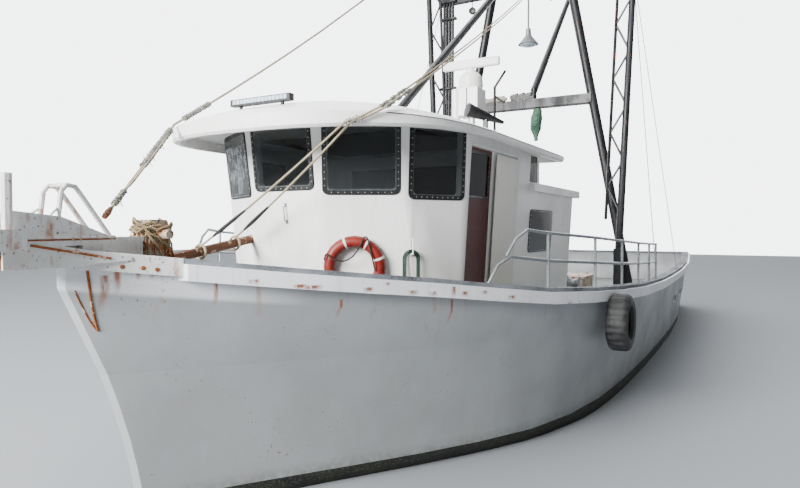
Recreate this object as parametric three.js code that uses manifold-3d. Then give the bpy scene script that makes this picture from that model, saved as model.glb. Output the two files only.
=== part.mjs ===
// Fishing trawler: a decked hull with the wheelhouse forward and an A-frame mast amidships.
// Millimetres. +X is the bow, +Y port, +Z up. The origin is amidships on the waterline.
import * as THREE from 'three';
import { mergeVertices } from 'three/addons/utils/BufferGeometryUtils.js';
import Module from 'manifold-3d';

const wasm = await Module();
wasm.setup();

// Hull
const STEM_X = 11000;
const LENGTH = 22000;
const STEM_HALF = 60;
const BOOT_TOP_Z = 200;
const STEM_RAKE = 0.55;
const STEM_HOLLOW = 0.00009;
const FOREFOOT_SLOPE = 0.375;
const FOREFOOT_CURVE = 0.0004;
const BOW_FADE = 7000;
const TRANSOM_START = 18000;
const TRANSOM_SLOPE = 0.12;
const KNUCKLE_DROP = 340;
const RABBET_Z = -1500;
const RUN_START = 13000;
const RUN_RISE = 0.6;

// Decks, bulwark and rails
const FORE_DECK_Z = 1500;
const WORK_DECK_Z = 850;
const DECK_THICKNESS = 50;
const BREAK_AFT = 10400;
const BULWARK = 90;
const CAP_THICKNESS = 50;
const CAP_OUT = 50;
const CAP_IN = 150;
const GUARD_OUT = 100;
const GUARD_HEIGHT = 150;
const GUARD_START_X = 10300;
const GAP = 0.3;
const FORE_TOP = FORE_DECK_Z + DECK_THICKNESS;
const WORK_TOP = WORK_DECK_Z + DECK_THICKNESS;

// Houses
const WALL = 100;
const SILL_Z = 3280;
const SOFFIT_Z = 4100;
const BROW_Z = 3975;
const BROW_DROOP = 95;
const WHEELHOUSE_AFT = 4300;
const DECKHOUSE_AFT = 1500;
const DECKHOUSE_TOP = 3420;
const DECKHOUSE_ROOF = 130;
const SIDE_LEAN = 3.5;
const PANE_THICKNESS = 12;
const PANE_TOP = 4080;

// Mast, boom and outriggers
const MAST_X = -1600;
const MAST_FOOT_Y = 2560;
const MAST_TOP = { y: 820, z: 9950 };
const TOPMAST_Z = 13200;
const BEAM_Z = 6000;
const CROSSTREE_Z = 9000;
const BRACE_FOOT = [5700, 0, 4380];
const BOOM_PIVOT_X = -1960;
const BOOM_HEEL_Z = 6420;
const BOOM_LENGTH = 5300;
const LIFT_Z = 12560;
const OUTRIGGER = { x: -1050, y: 2330, z: 2250, length: 10600, lean: 2.5 };

// Running gear
const SHAFT_Z = -1450;
const PROPELLER_X = -9250;
const PROPELLER_RADIUS = 600;
const RUDDER_X = -9950;
const SKEG_AFT = -8950;
const SHOE_TOP = -2200;
const KEEL_BOTTOM = -2300;

const rad = THREE.MathUtils.degToRad;

// Turns a closed geometry into a solid whose faces point out.
function solid(geometry) {
  const bare = geometry.index ? geometry.toNonIndexed() : geometry.clone();
  bare.deleteAttribute('normal');
  bare.deleteAttribute('uv');
  const merged = mergeVertices(bare, 1e-3);
  const triVerts = new Uint32Array(merged.index.array);
  const vertProperties = merged.attributes.position.array;
  const made = new wasm.Manifold(new wasm.Mesh({ numProp: 3, vertProperties, triVerts }));
  if (made.volume() > 0) return made;
  triVerts.reverse();
  return new wasm.Manifold(new wasm.Mesh({ numProp: 3, vertProperties, triVerts }));
}

function join(...solids) {
  return solids.reduce((all, next) => all.add(next));
}

function cut(body, ...tools) {
  return tools.reduce((rest, tool) => rest.subtract(tool), body);
}

function block(x0, x1, y0, y1, z0, z1) {
  const box = new THREE.BoxGeometry(x1 - x0, y1 - y0, z1 - z0);
  return solid(box.translate((x0 + x1) / 2, (y0 + y1) / 2, (z0 + z1) / 2));
}

// A straight round bar between two points; tip is its radius at the far end.
function rod(from, to, radius, sides = 10, tip = radius) {
  const start = new THREE.Vector3(...from);
  const run = new THREE.Vector3(...to).sub(start);
  const bar = new THREE.CylinderGeometry(tip, radius, run.length(), sides);
  const turn = new THREE.Quaternion();
  turn.setFromUnitVectors(new THREE.Vector3(0, 1, 0), run.clone().normalize());
  bar.applyQuaternion(turn);
  const middle = start.addScaledVector(run, 0.5);
  return solid(bar.translate(middle.x, middle.y, middle.z));
}

// A bent round pipe through the points, its corners rounded by the bend length.
function pipe(points, radius, bend, steps, sides = 8) {
  const at = points.map((p) => new THREE.Vector3(...p));
  const path = new THREE.CurvePath();
  let start = at[0];
  for (let i = 1; i + 1 < at.length; i += 1) {
    const back = at[i - 1].clone().sub(at[i]).setLength(bend).add(at[i]);
    const ahead = at[i + 1].clone().sub(at[i]).setLength(bend).add(at[i]);
    path.add(new THREE.LineCurve3(start, back));
    path.add(new THREE.QuadraticBezierCurve3(back, at[i], ahead));
    start = ahead;
  }
  path.add(new THREE.LineCurve3(start, at[at.length - 1]));
  const ring = new THREE.Shape();
  ring.absarc(0, 0, radius, 0, 2 * Math.PI);
  const options = { steps, extrudePath: path, bevelEnabled: false, curveSegments: sides / 2 };
  return solid(new THREE.ExtrudeGeometry(ring, options));
}

// An outline in X and Z, extruded in Y between two places.
function plateXZ(outline, y0, y1) {
  const shape = new THREE.Shape(outline.map(([x, z]) => new THREE.Vector2(x, z)));
  const options = { depth: y1 - y0, bevelEnabled: false };
  const plate = new THREE.ExtrudeGeometry(shape, options);
  return solid(plate.rotateX(Math.PI / 2).translate(0, y1, 0));
}

// A profile of radius and height pairs, turned about an axis through a point.
function turned(profile, centre, axis, sides) {
  const outline = profile.map(([r, h]) => new THREE.Vector2(r, h));
  const form = new THREE.LatheGeometry(outline, sides);
  const turn = new THREE.Quaternion();
  turn.setFromUnitVectors(new THREE.Vector3(0, 1, 0), new THREE.Vector3(...axis));
  return solid(form.applyQuaternion(turn).translate(...centre));
}

// Skins a run of rings of [x, y, z] points and closes each end between its ring's two halves.
function loft(rings) {
  const size = rings[0].length;
  const index = [];
  for (let r = 0; r + 1 < rings.length; r += 1) {
    for (let p = 0; p < size; p += 1) {
      const q = (p + 1) % size;
      const [a, b] = [r * size + p, r * size + q];
      index.push(a, b, b + size, a, b + size, a + size);
    }
  }
  const last = (rings.length - 1) * size;
  for (let p = 0; p + 1 < size - 1 - p; p += 1) {
    const [q, s, t] = [p + 1, size - 2 - p, size - 1 - p];
    index.push(t, s, p, last + p, last + s, last + t);
    if (q < s) index.push(s, q, p, last + p, last + q, last + s);
  }
  const form = new THREE.BufferGeometry();
  form.setAttribute('position', new THREE.Float32BufferAttribute(rings.flat(2), 3));
  form.setIndex(index);
  return solid(form);
}

// Stations of the hull: distance aft of the stem head, half-breadth and height of the rail,
// and half-breadth at the boot-top.
const STATIONS = [
  { aft: 0, railY: 60, railZ: 2650, waterY: 60 },
  { aft: 600, railY: 536, railZ: 2565, waterY: 395 },
  { aft: 1500, railY: 1247, railZ: 2440, waterY: 940 },
  { aft: 3000, railY: 2191, railZ: 2260, waterY: 1850 },
  { aft: 4500, railY: 2849, railZ: 2075, waterY: 2590 },
  { aft: 6000, railY: 3239, railZ: 1985, waterY: 2950 },
  { aft: 8000, railY: 3400, railZ: 1880, waterY: 3120 },
  { aft: 12000, railY: 3400, railZ: 1780, waterY: 3200 },
  { aft: 17000, railY: 3300, railZ: 1815, waterY: 3120 },
  { aft: 22000, railY: 2920, railZ: 1950, waterY: 2720 },
];
const CUTS = [
  0, 300, 600, 1000, 1500, 2100, 2800, 3600, 4500, 5500, 6700, 8200, 10400, 12500, 15000, 17500,
  20000, 22000,
];

// A smooth curve through one column of the station table.
function fair(column, aft) {
  const last = STATIONS.length - 2;
  const i = Math.min(last, Math.max(0, STATIONS.findIndex((s) => s.aft >= aft) - 1));
  const [s0, s1] = [STATIONS[i], STATIONS[i + 1]];
  const slope = (a, b) => (b[column] - a[column]) / (b.aft - a.aft);
  const span = s1.aft - s0.aft;
  const own = slope(s0, s1);
  const m0 = i > 0 ? (slope(STATIONS[i - 1], s0) + own) / 2 : own;
  const m1 = i < last ? (own + slope(s1, STATIONS[i + 2])) / 2 : own;
  const t = (aft - s0.aft) / span;
  const [t2, t3] = [t * t, t * t * t];
  const ends = (2 * t3 - 3 * t2 + 1) * s0[column] + (3 * t2 - 2 * t3) * s1[column];
  return ends + span * ((t3 - 2 * t2 + t) * m0 + (t3 - t2) * m1);
}

const railZ = (aft) => fair('railZ', aft);
const bowShare = (aft) => Math.max(0, 1 - aft / BOW_FADE);
const sternShare = (aft) => Math.max(0, (aft - TRANSOM_START) / (LENGTH - TRANSOM_START));

const knuckle = (aft) => Math.max(FORE_DECK_Z + 30, railZ(aft) - KNUCKLE_DROP);

// How far the stem line at a height lies aft of where it meets the upright band at the top.
function setback(z, top) {
  const drop = Math.max(0, top - Math.max(BOOT_TOP_Z, z));
  const below = Math.max(0, BOOT_TOP_Z - z);
  const stem = drop * (STEM_RAKE - STEM_HOLLOW * drop);
  return stem + below * (FOREFOOT_SLOPE + FOREFOOT_CURVE * below);
}

function shellX(aft, z) {
  const top = knuckle(aft);
  const rake = sternShare(aft) * TRANSOM_SLOPE * Math.max(0, top - z);
  return STEM_X - aft - setback(z, top) * bowShare(aft) + rake;
}

// Half-breadth of the topsides, which flare up to the knuckle and stand upright above it.
function topsideY(aft, z) {
  const [rail, water] = [fair('railY', aft), fair('waterY', aft)];
  const reach = (z - BOOT_TOP_Z) / (knuckle(aft) - BOOT_TOP_Z);
  const share = Math.min(1, Math.max(0, reach));
  return water + (rail - water) * share ** (1 + 0.3 * bowShare(aft));
}

// A slab of the hull's plan, grown outwards by out, through a list of rising heights.
function hullSlab(out, heights, from = 0, to = LENGTH) {
  const places = [from, ...CUTS.filter((aft) => aft > from && aft < to), to];
  const rings = places.map((aft) => {
    const slope = (fair('railY', aft + 50) - fair('railY', aft - 50)) / 100;
    const grow = out * Math.hypot(1, aft >= 100 && aft < LENGTH - 100 ? slope : 0);
    const side = heights.map((height) => {
      const z = typeof height === 'number' ? height : height(aft);
      let x = shellX(aft, z);
      if (aft === 0) x += out;
      if (aft === LENGTH) x -= out;
      return [x, topsideY(aft, z) + grow, z];
    });
    return [...side, ...side.map(([x, y, z]) => [x, -y, z]).reverse()];
  });
  return loft(rings);
}

// Underwater sections: share of the boot-top half-breadth, full amidships and fine at the bow.
const BILGE = [
  { z: -200, full: 0.985, fine: 0.74 },
  { z: -650, full: 0.92, fine: 0.5 },
  { z: -1120, full: 0.64, fine: 0.3 },
];

function bottomShell() {
  const rings = CUTS.map((aft) => {
    const fine = bowShare(aft);
    const run = Math.max(0, (aft - RUN_START) / (LENGTH - RUN_START));
    const depth = 1 - RUN_RISE * run;
    const water = fair('waterY', aft);
    const lower = BILGE.map(({ z, full, fine: lean }) => {
      const height = BOOT_TOP_Z - (BOOT_TOP_Z - z) * depth;
      const share = full + (lean - full) * fine;
      return [shellX(aft, height), Math.max(STEM_HALF, water * share), height];
    });
    const foot = BOOT_TOP_Z - (BOOT_TOP_Z - RABBET_Z) * depth;
    const side = [
      [shellX(aft, BOOT_TOP_Z), water, BOOT_TOP_Z],
      ...lower,
      [shellX(aft, foot), STEM_HALF, foot],
    ];
    return [...side, ...side.map(([x, y, z]) => [x, -y, z]).reverse()];
  });
  return loft(rings);
}

const STOCK_RADIUS = 60;
const bottomBody = bottomShell();
const hullBottom = cut(
  bottomBody,
  rod([RUDDER_X, 0, -900], [RUDDER_X, 0, -380], STOCK_RADIUS + 1, 24),
);

const SHAFT_RADIUS = 45;
const KEEL_OUTLINE = [
  [8480, -1560],
  [7700, -1900],
  [6000, -2150],
  [SKEG_AFT, KEEL_BOTTOM],
  [-10150, KEEL_BOTTOM],
  [-10150, SHOE_TOP],
  [SKEG_AFT, SHOE_TOP],
  [SKEG_AFT, -500],
  [-4000, -500],
  [6000, -1300],
  [8200, -1400],
];
const keel = cut(
  plateXZ(KEEL_OUTLINE, -100, 100),
  bottomBody.translate([0, 0, -GAP]),
  rod([SKEG_AFT - 10, 0, SHAFT_Z], [SKEG_AFT + 300, 0, SHAFT_Z], SHAFT_RADIUS + 1, 24),
);

const topsides = cut(
  hullSlab(0, [BOOT_TOP_Z, 525, 850, 1175, FORE_DECK_Z]),
  hullSlab(-100, [WORK_DECK_Z, FORE_DECK_Z + 100], BREAK_AFT, LENGTH - 120),
);
const FREEING_PORTS = [-3400, -5400, -7400, -9200];
const portCuts = FREEING_PORTS.map((x) => block(x - 350, x + 350, -4000, 4000, 910, 1080));
const hullTopsides = cut(topsides, ...portCuts);

// Heights that follow the sheer
const capUnder = (aft) => railZ(aft) - CAP_THICKNESS;
const guardLow = (aft) => capUnder(aft) - GUARD_HEIGHT;
const intoCap = (aft) => railZ(aft) - 20;
const above = (aft) => railZ(aft) + 60;

const capBand = hullSlab(CAP_OUT, [capUnder, railZ]);
const underCap = capBand.translate([0, 0, -GAP]);
const aheadOfCap = block(GUARD_START_X, 12000, -2000, 2000, 1000, 3000);
const capRail = cut(
  capBand,
  hullSlab(-CAP_IN, [knuckle, above], 450, LENGTH - CAP_IN),
  aheadOfCap,
);
const bulwark = cut(
  hullSlab(0, [FORE_DECK_Z + GAP, knuckle, intoCap]),
  hullSlab(-BULWARK, [FORE_DECK_Z - 50, knuckle, above], 300, LENGTH - BULWARK),
  underCap,
);

const inHull = hullSlab(GAP, [knuckle, above]);
const overGuard = hullSlab(2 * GUARD_OUT, [(aft) => capUnder(aft) - GAP, above]);
const guardRail = cut(
  hullSlab(GUARD_OUT, [guardLow, intoCap]),
  inHull,
  underCap,
  overGuard,
  aheadOfCap,
);

// The bow plate wraps the stem head and closes the rail's top ahead of the wooden cap.
const BOW_PLATE = { out: 55, height: 165, aft: 1400 };
const bowPlateLow = (aft) => railZ(aft) - BOW_PLATE.height;
const stemPlate = cut(
  hullSlab(BOW_PLATE.out, [bowPlateLow, railZ], 0, BOW_PLATE.aft),
  hullSlab(GAP, [knuckle, capUnder], 0, BOW_PLATE.aft + 300),
  hullSlab(-CAP_IN, [knuckle, above], 450, BOW_PLATE.aft + 300),
  block(8000, GUARD_START_X + GAP, -2000, 2000, 1000, 3000),
);

const foredeck = hullSlab(-105, [FORE_DECK_Z, FORE_TOP], 330, BREAK_AFT);
const workDeck = hullSlab(-112, [WORK_DECK_Z, WORK_TOP], BREAK_AFT + 1, LENGTH - 135);

// Faces of the wheelhouse: angle of the normal, distance at the window sill, outward lean.
const FACES = [
  { name: 'port_side', angle: 90, reach: 1890, lean: SIDE_LEAN },
  { name: 'port_quarter', angle: 60, reach: 5022, lean: 3 },
  { name: 'port_bow', angle: 30, reach: 7275, lean: 6.5 },
  { name: 'front', angle: 0, reach: 8100, lean: 7 },
  { name: 'starboard_bow', angle: -30, reach: 7275, lean: 6.5 },
  { name: 'starboard_quarter', angle: -60, reach: 5022, lean: 3 },
  { name: 'starboard_side', angle: -90, reach: 1890, lean: SIDE_LEAN },
];
const faceNamed = (name) => FACES.find((face) => face.name === name);

// Corner of two faces at a height, both moved inwards by inset.
function corner(one, two, z, inset) {
  const line = (face) => {
    const a = rad(face.angle);
    const reach = face.reach + (z - SILL_Z) * Math.tan(rad(face.lean)) - inset;
    return [Math.cos(a), Math.sin(a), reach];
  };
  const [[a, b, c], [d, e, f]] = [line(one), line(two)];
  const det = a * e - b * d;
  return [(c * e - b * f) / det, (a * f - c * d) / det, z];
}

// A house of faces between two heights, closed aft by a wall at the aft place.
function house(faces, aftX, z0, z1, inset) {
  const aftFace = { angle: 180, reach: -aftX, lean: 0 };
  const loop = [...faces, aftFace];
  const rings = [z0, z1].map((z) =>
    loop.map((face, i) => corner(face, loop[(i + 1) % loop.length], z, inset)),
  );
  return loft(rings);
}

// Places a form drawn in a face's own u along, v up and w outwards, with v zero at the sill.
function onFace(face, form) {
  const [a, lean] = [rad(face.angle), rad(face.lean)];
  const across = new THREE.Vector3(-Math.sin(a), Math.cos(a), 0);
  const up = new THREE.Vector3(
    Math.cos(a) * Math.sin(lean),
    Math.sin(a) * Math.sin(lean),
    Math.cos(lean),
  );
  const out = new THREE.Vector3().crossVectors(across, up);
  const place = new THREE.Matrix4().makeBasis(across, up, out);
  place.setPosition(Math.cos(a) * face.reach, Math.sin(a) * face.reach, SILL_Z);
  return solid(form.applyMatrix4(place));
}

// A slab with rounded corners, drawn in a face's own directions.
function slab(u0, u1, v0, v1, w0, w1, round = 0) {
  const shape = new THREE.Shape();
  const corners = [
    [u1 - round, v0 + round, -90],
    [u1 - round, v1 - round, 0],
    [u0 + round, v1 - round, 90],
    [u0 + round, v0 + round, 180],
  ];
  if (round > 0) {
    for (const [u, v, a] of corners) shape.absarc(u, v, round, rad(a), rad(a + 90));
  } else {
    shape.setFromPoints(corners.map(([u, v]) => new THREE.Vector2(u, v)));
  }
  const options = { depth: w1 - w0, bevelEnabled: false, curveSegments: 1 };
  return new THREE.ExtrudeGeometry(shape, options).translate(0, 0, w0);
}

const along = (face, point) => {
  const a = rad(face.angle);
  return -Math.sin(a) * point[0] + Math.cos(a) * point[1];
};

const WINDOW_FACES = [1, 2, 3, 4, 5];
const PANE_MARGIN = 55;
const PANE_LAP = 60;
const PANE_ROUND = 70;
// How far each pane reaches below the sill line, port to starboard.
const PANE_DROPS = [110, 60, 0, 60, 110];
const paneV = [5, (PANE_TOP - SILL_Z) / Math.cos(rad(5))];

// Ends of the pane along its face.
function paneSpan(i) {
  const left = along(FACES[i], corner(FACES[i], FACES[i + 1], SILL_Z, 0));
  const right = along(FACES[i], corner(FACES[i - 1], FACES[i], SILL_Z, 0));
  return [Math.min(left, right) + PANE_MARGIN, Math.max(left, right) - PANE_MARGIN];
}

const panes = WINDOW_FACES.map((i, k) => {
  const [u0, u1] = paneSpan(i);
  const form = slab(u0, u1, paneV[0] - PANE_DROPS[k], paneV[1], GAP, GAP + PANE_THICKNESS, PANE_ROUND);
  return { name: `window_${FACES[i].name}`, body: onFace(FACES[i], form) };
});
const paneHoles = WINDOW_FACES.map((i, k) => {
  const [u0, u1] = paneSpan(i);
  const low = paneV[0] - PANE_DROPS[k] + PANE_LAP;
  const high = paneV[1] - PANE_LAP;
  return onFace(FACES[i], slab(u0 + PANE_LAP, u1 - PANE_LAP, low, high, -WALL - 60, 40, 40));
});

// Side doors: each leaf slides aft inside the wall, behind the fixed panel.
const BAY = { front: 6720, rear: 4920, door: 5870, low: 1640, high: 3885 };
const LEAF = { outer: -61, inner: -90, overlap: 15, drop: 5 };
const doorV = [(BAY.low - SILL_Z) / Math.cos(rad(SIDE_LEAN)), BAY.high - SILL_Z];

// A box on a side face between two X places, the same on both sides of the boat.
function sideSlab(face, rearX, frontX, v, w, round = 0) {
  const way = face.angle > 0 ? -1 : 1;
  const [a, b] = [rearX * way, frontX * way];
  return onFace(face, slab(Math.min(a, b), Math.max(a, b), v[0], v[1], w[0], w[1], round));
}

function doorCuts(face) {
  return [
    sideSlab(face, BAY.rear, BAY.front, doorV, [-40, 60]),
    sideSlab(face, BAY.rear, BAY.front, doorV, [-WALL - 30, -55]),
    sideSlab(face, BAY.door, BAY.front - 15, doorV, [-70, 0]),
  ];
}

function doorLeaf(face) {
  const v = [doorV[0] + GAP, doorV[1] - LEAF.drop];
  const leaf = sideSlab(face, BAY.door - LEAF.overlap, BAY.front - 6, v, [LEAF.inner, LEAF.outer]);
  const pane = [v[1] - 640, v[1] - 60];
  return cut(leaf, sideSlab(face, BAY.door + 60, BAY.front - 80, pane, [-200, 0], 40));
}

const sides = ['port_side', 'starboard_side'].map(faceNamed);
const HOOK = { z: 2480, inside: 85, reach: 90, rise: 30, radius: 12, tip: 2700 };
const hookPlace = corner(faceNamed('port_bow'), faceNamed('port_quarter'), HOOK.z, 0);
const fromHook = (out, z) => {
  const step = out * Math.SQRT1_2;
  return [hookPlace[0] + step, hookPlace[1] + step, z];
};
const hookEnd = fromHook(HOOK.reach, HOOK.z + HOOK.rise);
const hookArm = (grow) => rod(fromHook(-HOOK.inside, HOOK.z), hookEnd, HOOK.radius + grow, 8);
const wallHook = join(hookArm(0), rod(hookEnd, fromHook(HOOK.reach + 5, HOOK.tip), 8, 8));
const wheelhouse = join(
  cut(
    house(FACES, WHEELHOUSE_AFT, FORE_TOP, SOFFIT_Z, 0),
    house(FACES, WHEELHOUSE_AFT, FORE_TOP - 100, SOFFIT_Z + 100, WALL),
    ...paneHoles,
    ...sides.flatMap(doorCuts),
  ),
  wallHook,
);

// A hank of hose hangs from the hook: three turns side by side, long and narrow.
const HOSE = { inner: 61, outer: 113, straight: 380, out: 14, thickness: 17, sink: 3 };

function hoseHank() {
  const turn = (radius) => {
    const line = new THREE.Path();
    line.absarc(0, 0, radius, 0, Math.PI);
    line.absarc(0, -HOSE.straight, radius, Math.PI, 2 * Math.PI);
    line.closePath();
    return line;
  };
  const shape = new THREE.Shape(turn(HOSE.outer).getPoints(8));
  shape.holes.push(turn(HOSE.inner));
  const options = { depth: HOSE.thickness, bevelEnabled: false, curveSegments: 8 };
  const across = new THREE.Vector3(-Math.SQRT1_2, Math.SQRT1_2, 0);
  const up = new THREE.Vector3(0, 0, 1);
  const out = new THREE.Vector3().crossVectors(across, up);
  const share = (HOSE.out + HOSE.thickness / 2 + HOOK.inside) / (HOOK.reach + HOOK.inside);
  const hookTop = HOOK.z + HOOK.rise * share + HOOK.radius;
  const place = new THREE.Matrix4().makeBasis(across, up, out);
  place.setPosition(...fromHook(HOSE.out, hookTop - HOSE.sink - HOSE.inner));
  const hank = solid(new THREE.ExtrudeGeometry(shape, options).applyMatrix4(place));
  return cut(hank, hookArm(GAP));
}

const hose = hoseHank();

// Wheelhouse roof: a rounded brow, a straight fascia and a low dome.
const ROOF = { aft: 3150, shoulder: 6500, nose: 9050, half: 2160, power: 2.4 };
const BROW_THICKNESS = 90;
const ROOF_LEVELS = [
  { z: BROW_Z, inset: 25, droop: BROW_DROOP },
  { z: BROW_Z + 30, inset: 0, droop: BROW_DROOP },
  { z: 4060, inset: 0 },
  { z: 4095, inset: 45 },
  { z: 4200, inset: 330 },
  { z: 4310, inset: 720 },
  { z: 4410, inset: 1180 },
  { z: 4470, inset: 1600 },
];
const BROW_ANGLES = [90, 78, 66, 54, 42, 30, 18, 8, 0];

function roofRing(z, inset, droop = 0) {
  const half = BROW_ANGLES.map((degrees) => {
    const a = rad(degrees);
    const power = 2 / ROOF.power;
    const share = Math.cos(a) ** power;
    const x = ROOF.shoulder + (ROOF.nose - ROOF.shoulder - inset) * share;
    return [x, (ROOF.half - inset) * Math.sin(a) ** power, z - droop * share * share];
  });
  const port = [[ROOF.aft + inset, ROOF.half - inset, z], ...half];
  return [...port, ...port.slice(0, -1).map(([x, y, h]) => [x, -y, h]).reverse()];
}

function roofForm(levels) {
  return loft(levels.map(({ z, inset, droop }) => roofRing(z, inset, droop)));
}

const roofBody = roofForm(ROOF_LEVELS);
const underRoof = roofForm([
  { z: BROW_Z - 200, inset: BROW_THICKNESS, droop: BROW_DROOP },
  { z: SOFFIT_Z + GAP, inset: BROW_THICKNESS },
]);
const roof = cut(roofBody, underRoof);
const roofCutter = roofBody.translate([0, 0, GAP]);

// Deckhouse, its roof and the small upper cabin between it and the wheelhouse roof.
const bulkhead = { angle: 0, reach: WHEELHOUSE_AFT - GAP, lean: 0 };
const deckhouseFaces = [sides[0], bulkhead, sides[1]];
const AFT_DOOR = { half: 350, low: 1650, high: 3300, pivotX: 1486, leafX: 1505, thickness: 40 };
const BARREL = { radius: 12, low: [1900, 3000], height: 90, lug: 50 };
const deckWindow = { x0: 2880, x1: 4180, z0: 2410, z1: 3130 };
const deckWindowV = [deckWindow.z0 - SILL_Z, deckWindow.z1 - SILL_Z];
const deckPanes = sides.map((face) => ({
  name: face.angle > 0 ? 'window_deckhouse_port' : 'window_deckhouse_starboard',
  body: sideSlab(face, deckWindow.x0, deckWindow.x1, deckWindowV, [GAP, 12], PANE_ROUND),
}));
const pivotAt = (z) => [AFT_DOOR.pivotX, AFT_DOOR.half, z];
const hingeLugs = BARREL.low.map((z) => {
  const [foot, top] = [z - BARREL.lug, z - GAP];
  const strap = block(AFT_DOOR.pivotX - 8, DECKHOUSE_AFT + 10, 352, 372, foot, top);
  return join(rod(pivotAt(foot), pivotAt(top), BARREL.radius, 12), strap);
});
const deckPaneHoles = sides.map((face) => {
  const { x0, x1 } = deckWindow;
  const [v0, v1] = deckWindowV;
  return sideSlab(face, x0 + PANE_LAP, x1 - PANE_LAP, [v0 + PANE_LAP, v1 - PANE_LAP], [-200, 40], 40);
});
const deckhouse = join(
  cut(
    house(deckhouseFaces, DECKHOUSE_AFT, FORE_TOP, DECKHOUSE_TOP, 0),
    house(deckhouseFaces, DECKHOUSE_AFT, FORE_TOP - 100, DECKHOUSE_TOP + 100, WALL),
    block(1300, 1700, -AFT_DOOR.half, AFT_DOOR.half, AFT_DOOR.low, AFT_DOOR.high),
    ...deckPaneHoles,
  ),
  ...hingeLugs,
);
const leafBarrels = BARREL.low.map((z) => {
  const head = z + BARREL.height;
  const strap = block(AFT_DOOR.pivotX - 2, AFT_DOOR.leafX + 10, 330, 345, z, head);
  return join(rod(pivotAt(z), pivotAt(head), BARREL.radius, 12), strap);
});
const leafBack = AFT_DOOR.leafX + AFT_DOOR.thickness;
const aftDoor = join(
  block(AFT_DOOR.leafX, leafBack, -345, 345, AFT_DOOR.low + 5, AFT_DOOR.high - 5),
  ...leafBarrels,
);

const ROOF_EDGE_X = WHEELHOUSE_AFT - GAP;
const deckhouseTop = DECKHOUSE_TOP + DECKHOUSE_ROOF;
const deckhouseRoof = block(1350, ROOF_EDGE_X, -2000, 2000, DECKHOUSE_TOP, deckhouseTop);
const upperCabin = cut(
  block(3350, ROOF_EDGE_X, -1780, 1780, deckhouseTop, SOFFIT_Z),
  block(3430, WHEELHOUSE_AFT - 80, -1700, 1700, deckhouseTop - 50, SOFFIT_Z + 50),
  block(3520, 4130, -2000, 2000, deckhouseTop + 60, SOFFIT_Z - 60),
);
const exhaust = join(
  rod([2300, -1150, deckhouseTop], [2300, -1150, 4800], 110, 14),
  rod([2300, -1150, 4780], [2180, -1150, 5000], 75, 12),
);

// Roof gear
const lightBar = cut(
  join(
    block(8560, 8640, -370, 530, 4262, 4342),
    block(8585, 8615, -250, -220, 4150, 4270),
    block(8585, 8615, 380, 410, 4150, 4270),
  ),
  roofCutter,
);
const RADAR = { x: 4000, y: 750, boxTop: 5220, top: 5520 };
const RADAR_DOME = [[0, 0], [190, 0], [215, 60], [200, 220], [120, 300], [0, 300]];
const columnAt = (z) => [RADAR.x + 150, RADAR.y - 210, z];
const radarPost = cut(
  join(
    rod(columnAt(4000), columnAt(RADAR.boxTop), 75, 12),
    block(RADAR.x - 190, RADAR.x + 190, RADAR.y - 200, RADAR.y + 200, 4760, RADAR.boxTop + 10),
    block(RADAR.x - 60, RADAR.x + 60, RADAR.y - 60, RADAR.y + 60, 4000, 4800),
    turned(RADAR_DOME, [RADAR.x, RADAR.y, RADAR.boxTop], [0, 0, 1], 18),
  ),
  roofCutter,
);
const SCANNER = { half: 625, depth: 45, low: 70, high: 190 };
const radarScanner = join(
  rod([RADAR.x, RADAR.y, RADAR.top + GAP], [RADAR.x, RADAR.y, RADAR.top + 90], 45, 12),
  block(
    RADAR.x - SCANNER.depth,
    RADAR.x + SCANNER.depth,
    RADAR.y - SCANNER.half,
    RADAR.y + SCANNER.half,
    RADAR.top + SCANNER.low,
    RADAR.top + SCANNER.high,
  ),
);
const horn = cut(
  join(
    rod([4500, 900, 4790], [4000, 1350, 4610], 120, 14, 28),
    block(4215, 4285, 1090, 1160, 4200, 4700),
  ),
  roofCutter,
);

// Mast: two raking legs, two beams across them, a topmast and a brace down to the roof.
function legY(z) {
  const share = (z - WORK_TOP) / (MAST_TOP.z - WORK_TOP);
  return MAST_FOOT_Y + (MAST_TOP.y - MAST_FOOT_Y) * share;
}

function leg(side) {
  const foot = [MAST_X, side * (MAST_FOOT_Y + 60), WORK_TOP - 260];
  return rod(foot, [MAST_X, side * MAST_TOP.y, MAST_TOP.z], 110, 12);
}

function footPlate(side) {
  const [y0, y1] = [side * MAST_FOOT_Y - 160, side * MAST_FOOT_Y + 160];
  return block(MAST_X - 220, MAST_X + 220, y0, y1, WORK_TOP, WORK_TOP + 30);
}

function topmast(out) {
  return rod([MAST_X, 0, 9900], [MAST_X, 0, TOPMAST_Z], 85 + out, 12, 60 + out);
}

const mast = cut(
  join(
    leg(1),
    leg(-1),
    block(MAST_X - 150, MAST_X + 150, -legY(BEAM_Z), legY(BEAM_Z), BEAM_Z - 110, BEAM_Z + 110),
    block(MAST_X - 90, MAST_X + 90, -2560, 2560, CROSSTREE_Z - 80, CROSSTREE_Z + 80),
    block(MAST_X - 120, MAST_X + 120, -MAST_TOP.y - 90, MAST_TOP.y + 90, 9880, 10040),
    topmast(0),
    block(BOOM_PIVOT_X - 60, MAST_X, -40, 40, LIFT_Z, LIFT_Z + 80),
    block(BOOM_PIVOT_X - 130, MAST_X - 100, -130, 130, BEAM_Z + 60, BEAM_Z + 150),
    rod(BRACE_FOOT, [MAST_X, 0, 9900], 70, 10),
    footPlate(1),
    footPlate(-1),
  ),
  block(-3000, 0, -4000, 4000, 0, WORK_TOP),
  roofCutter,
);

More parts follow.
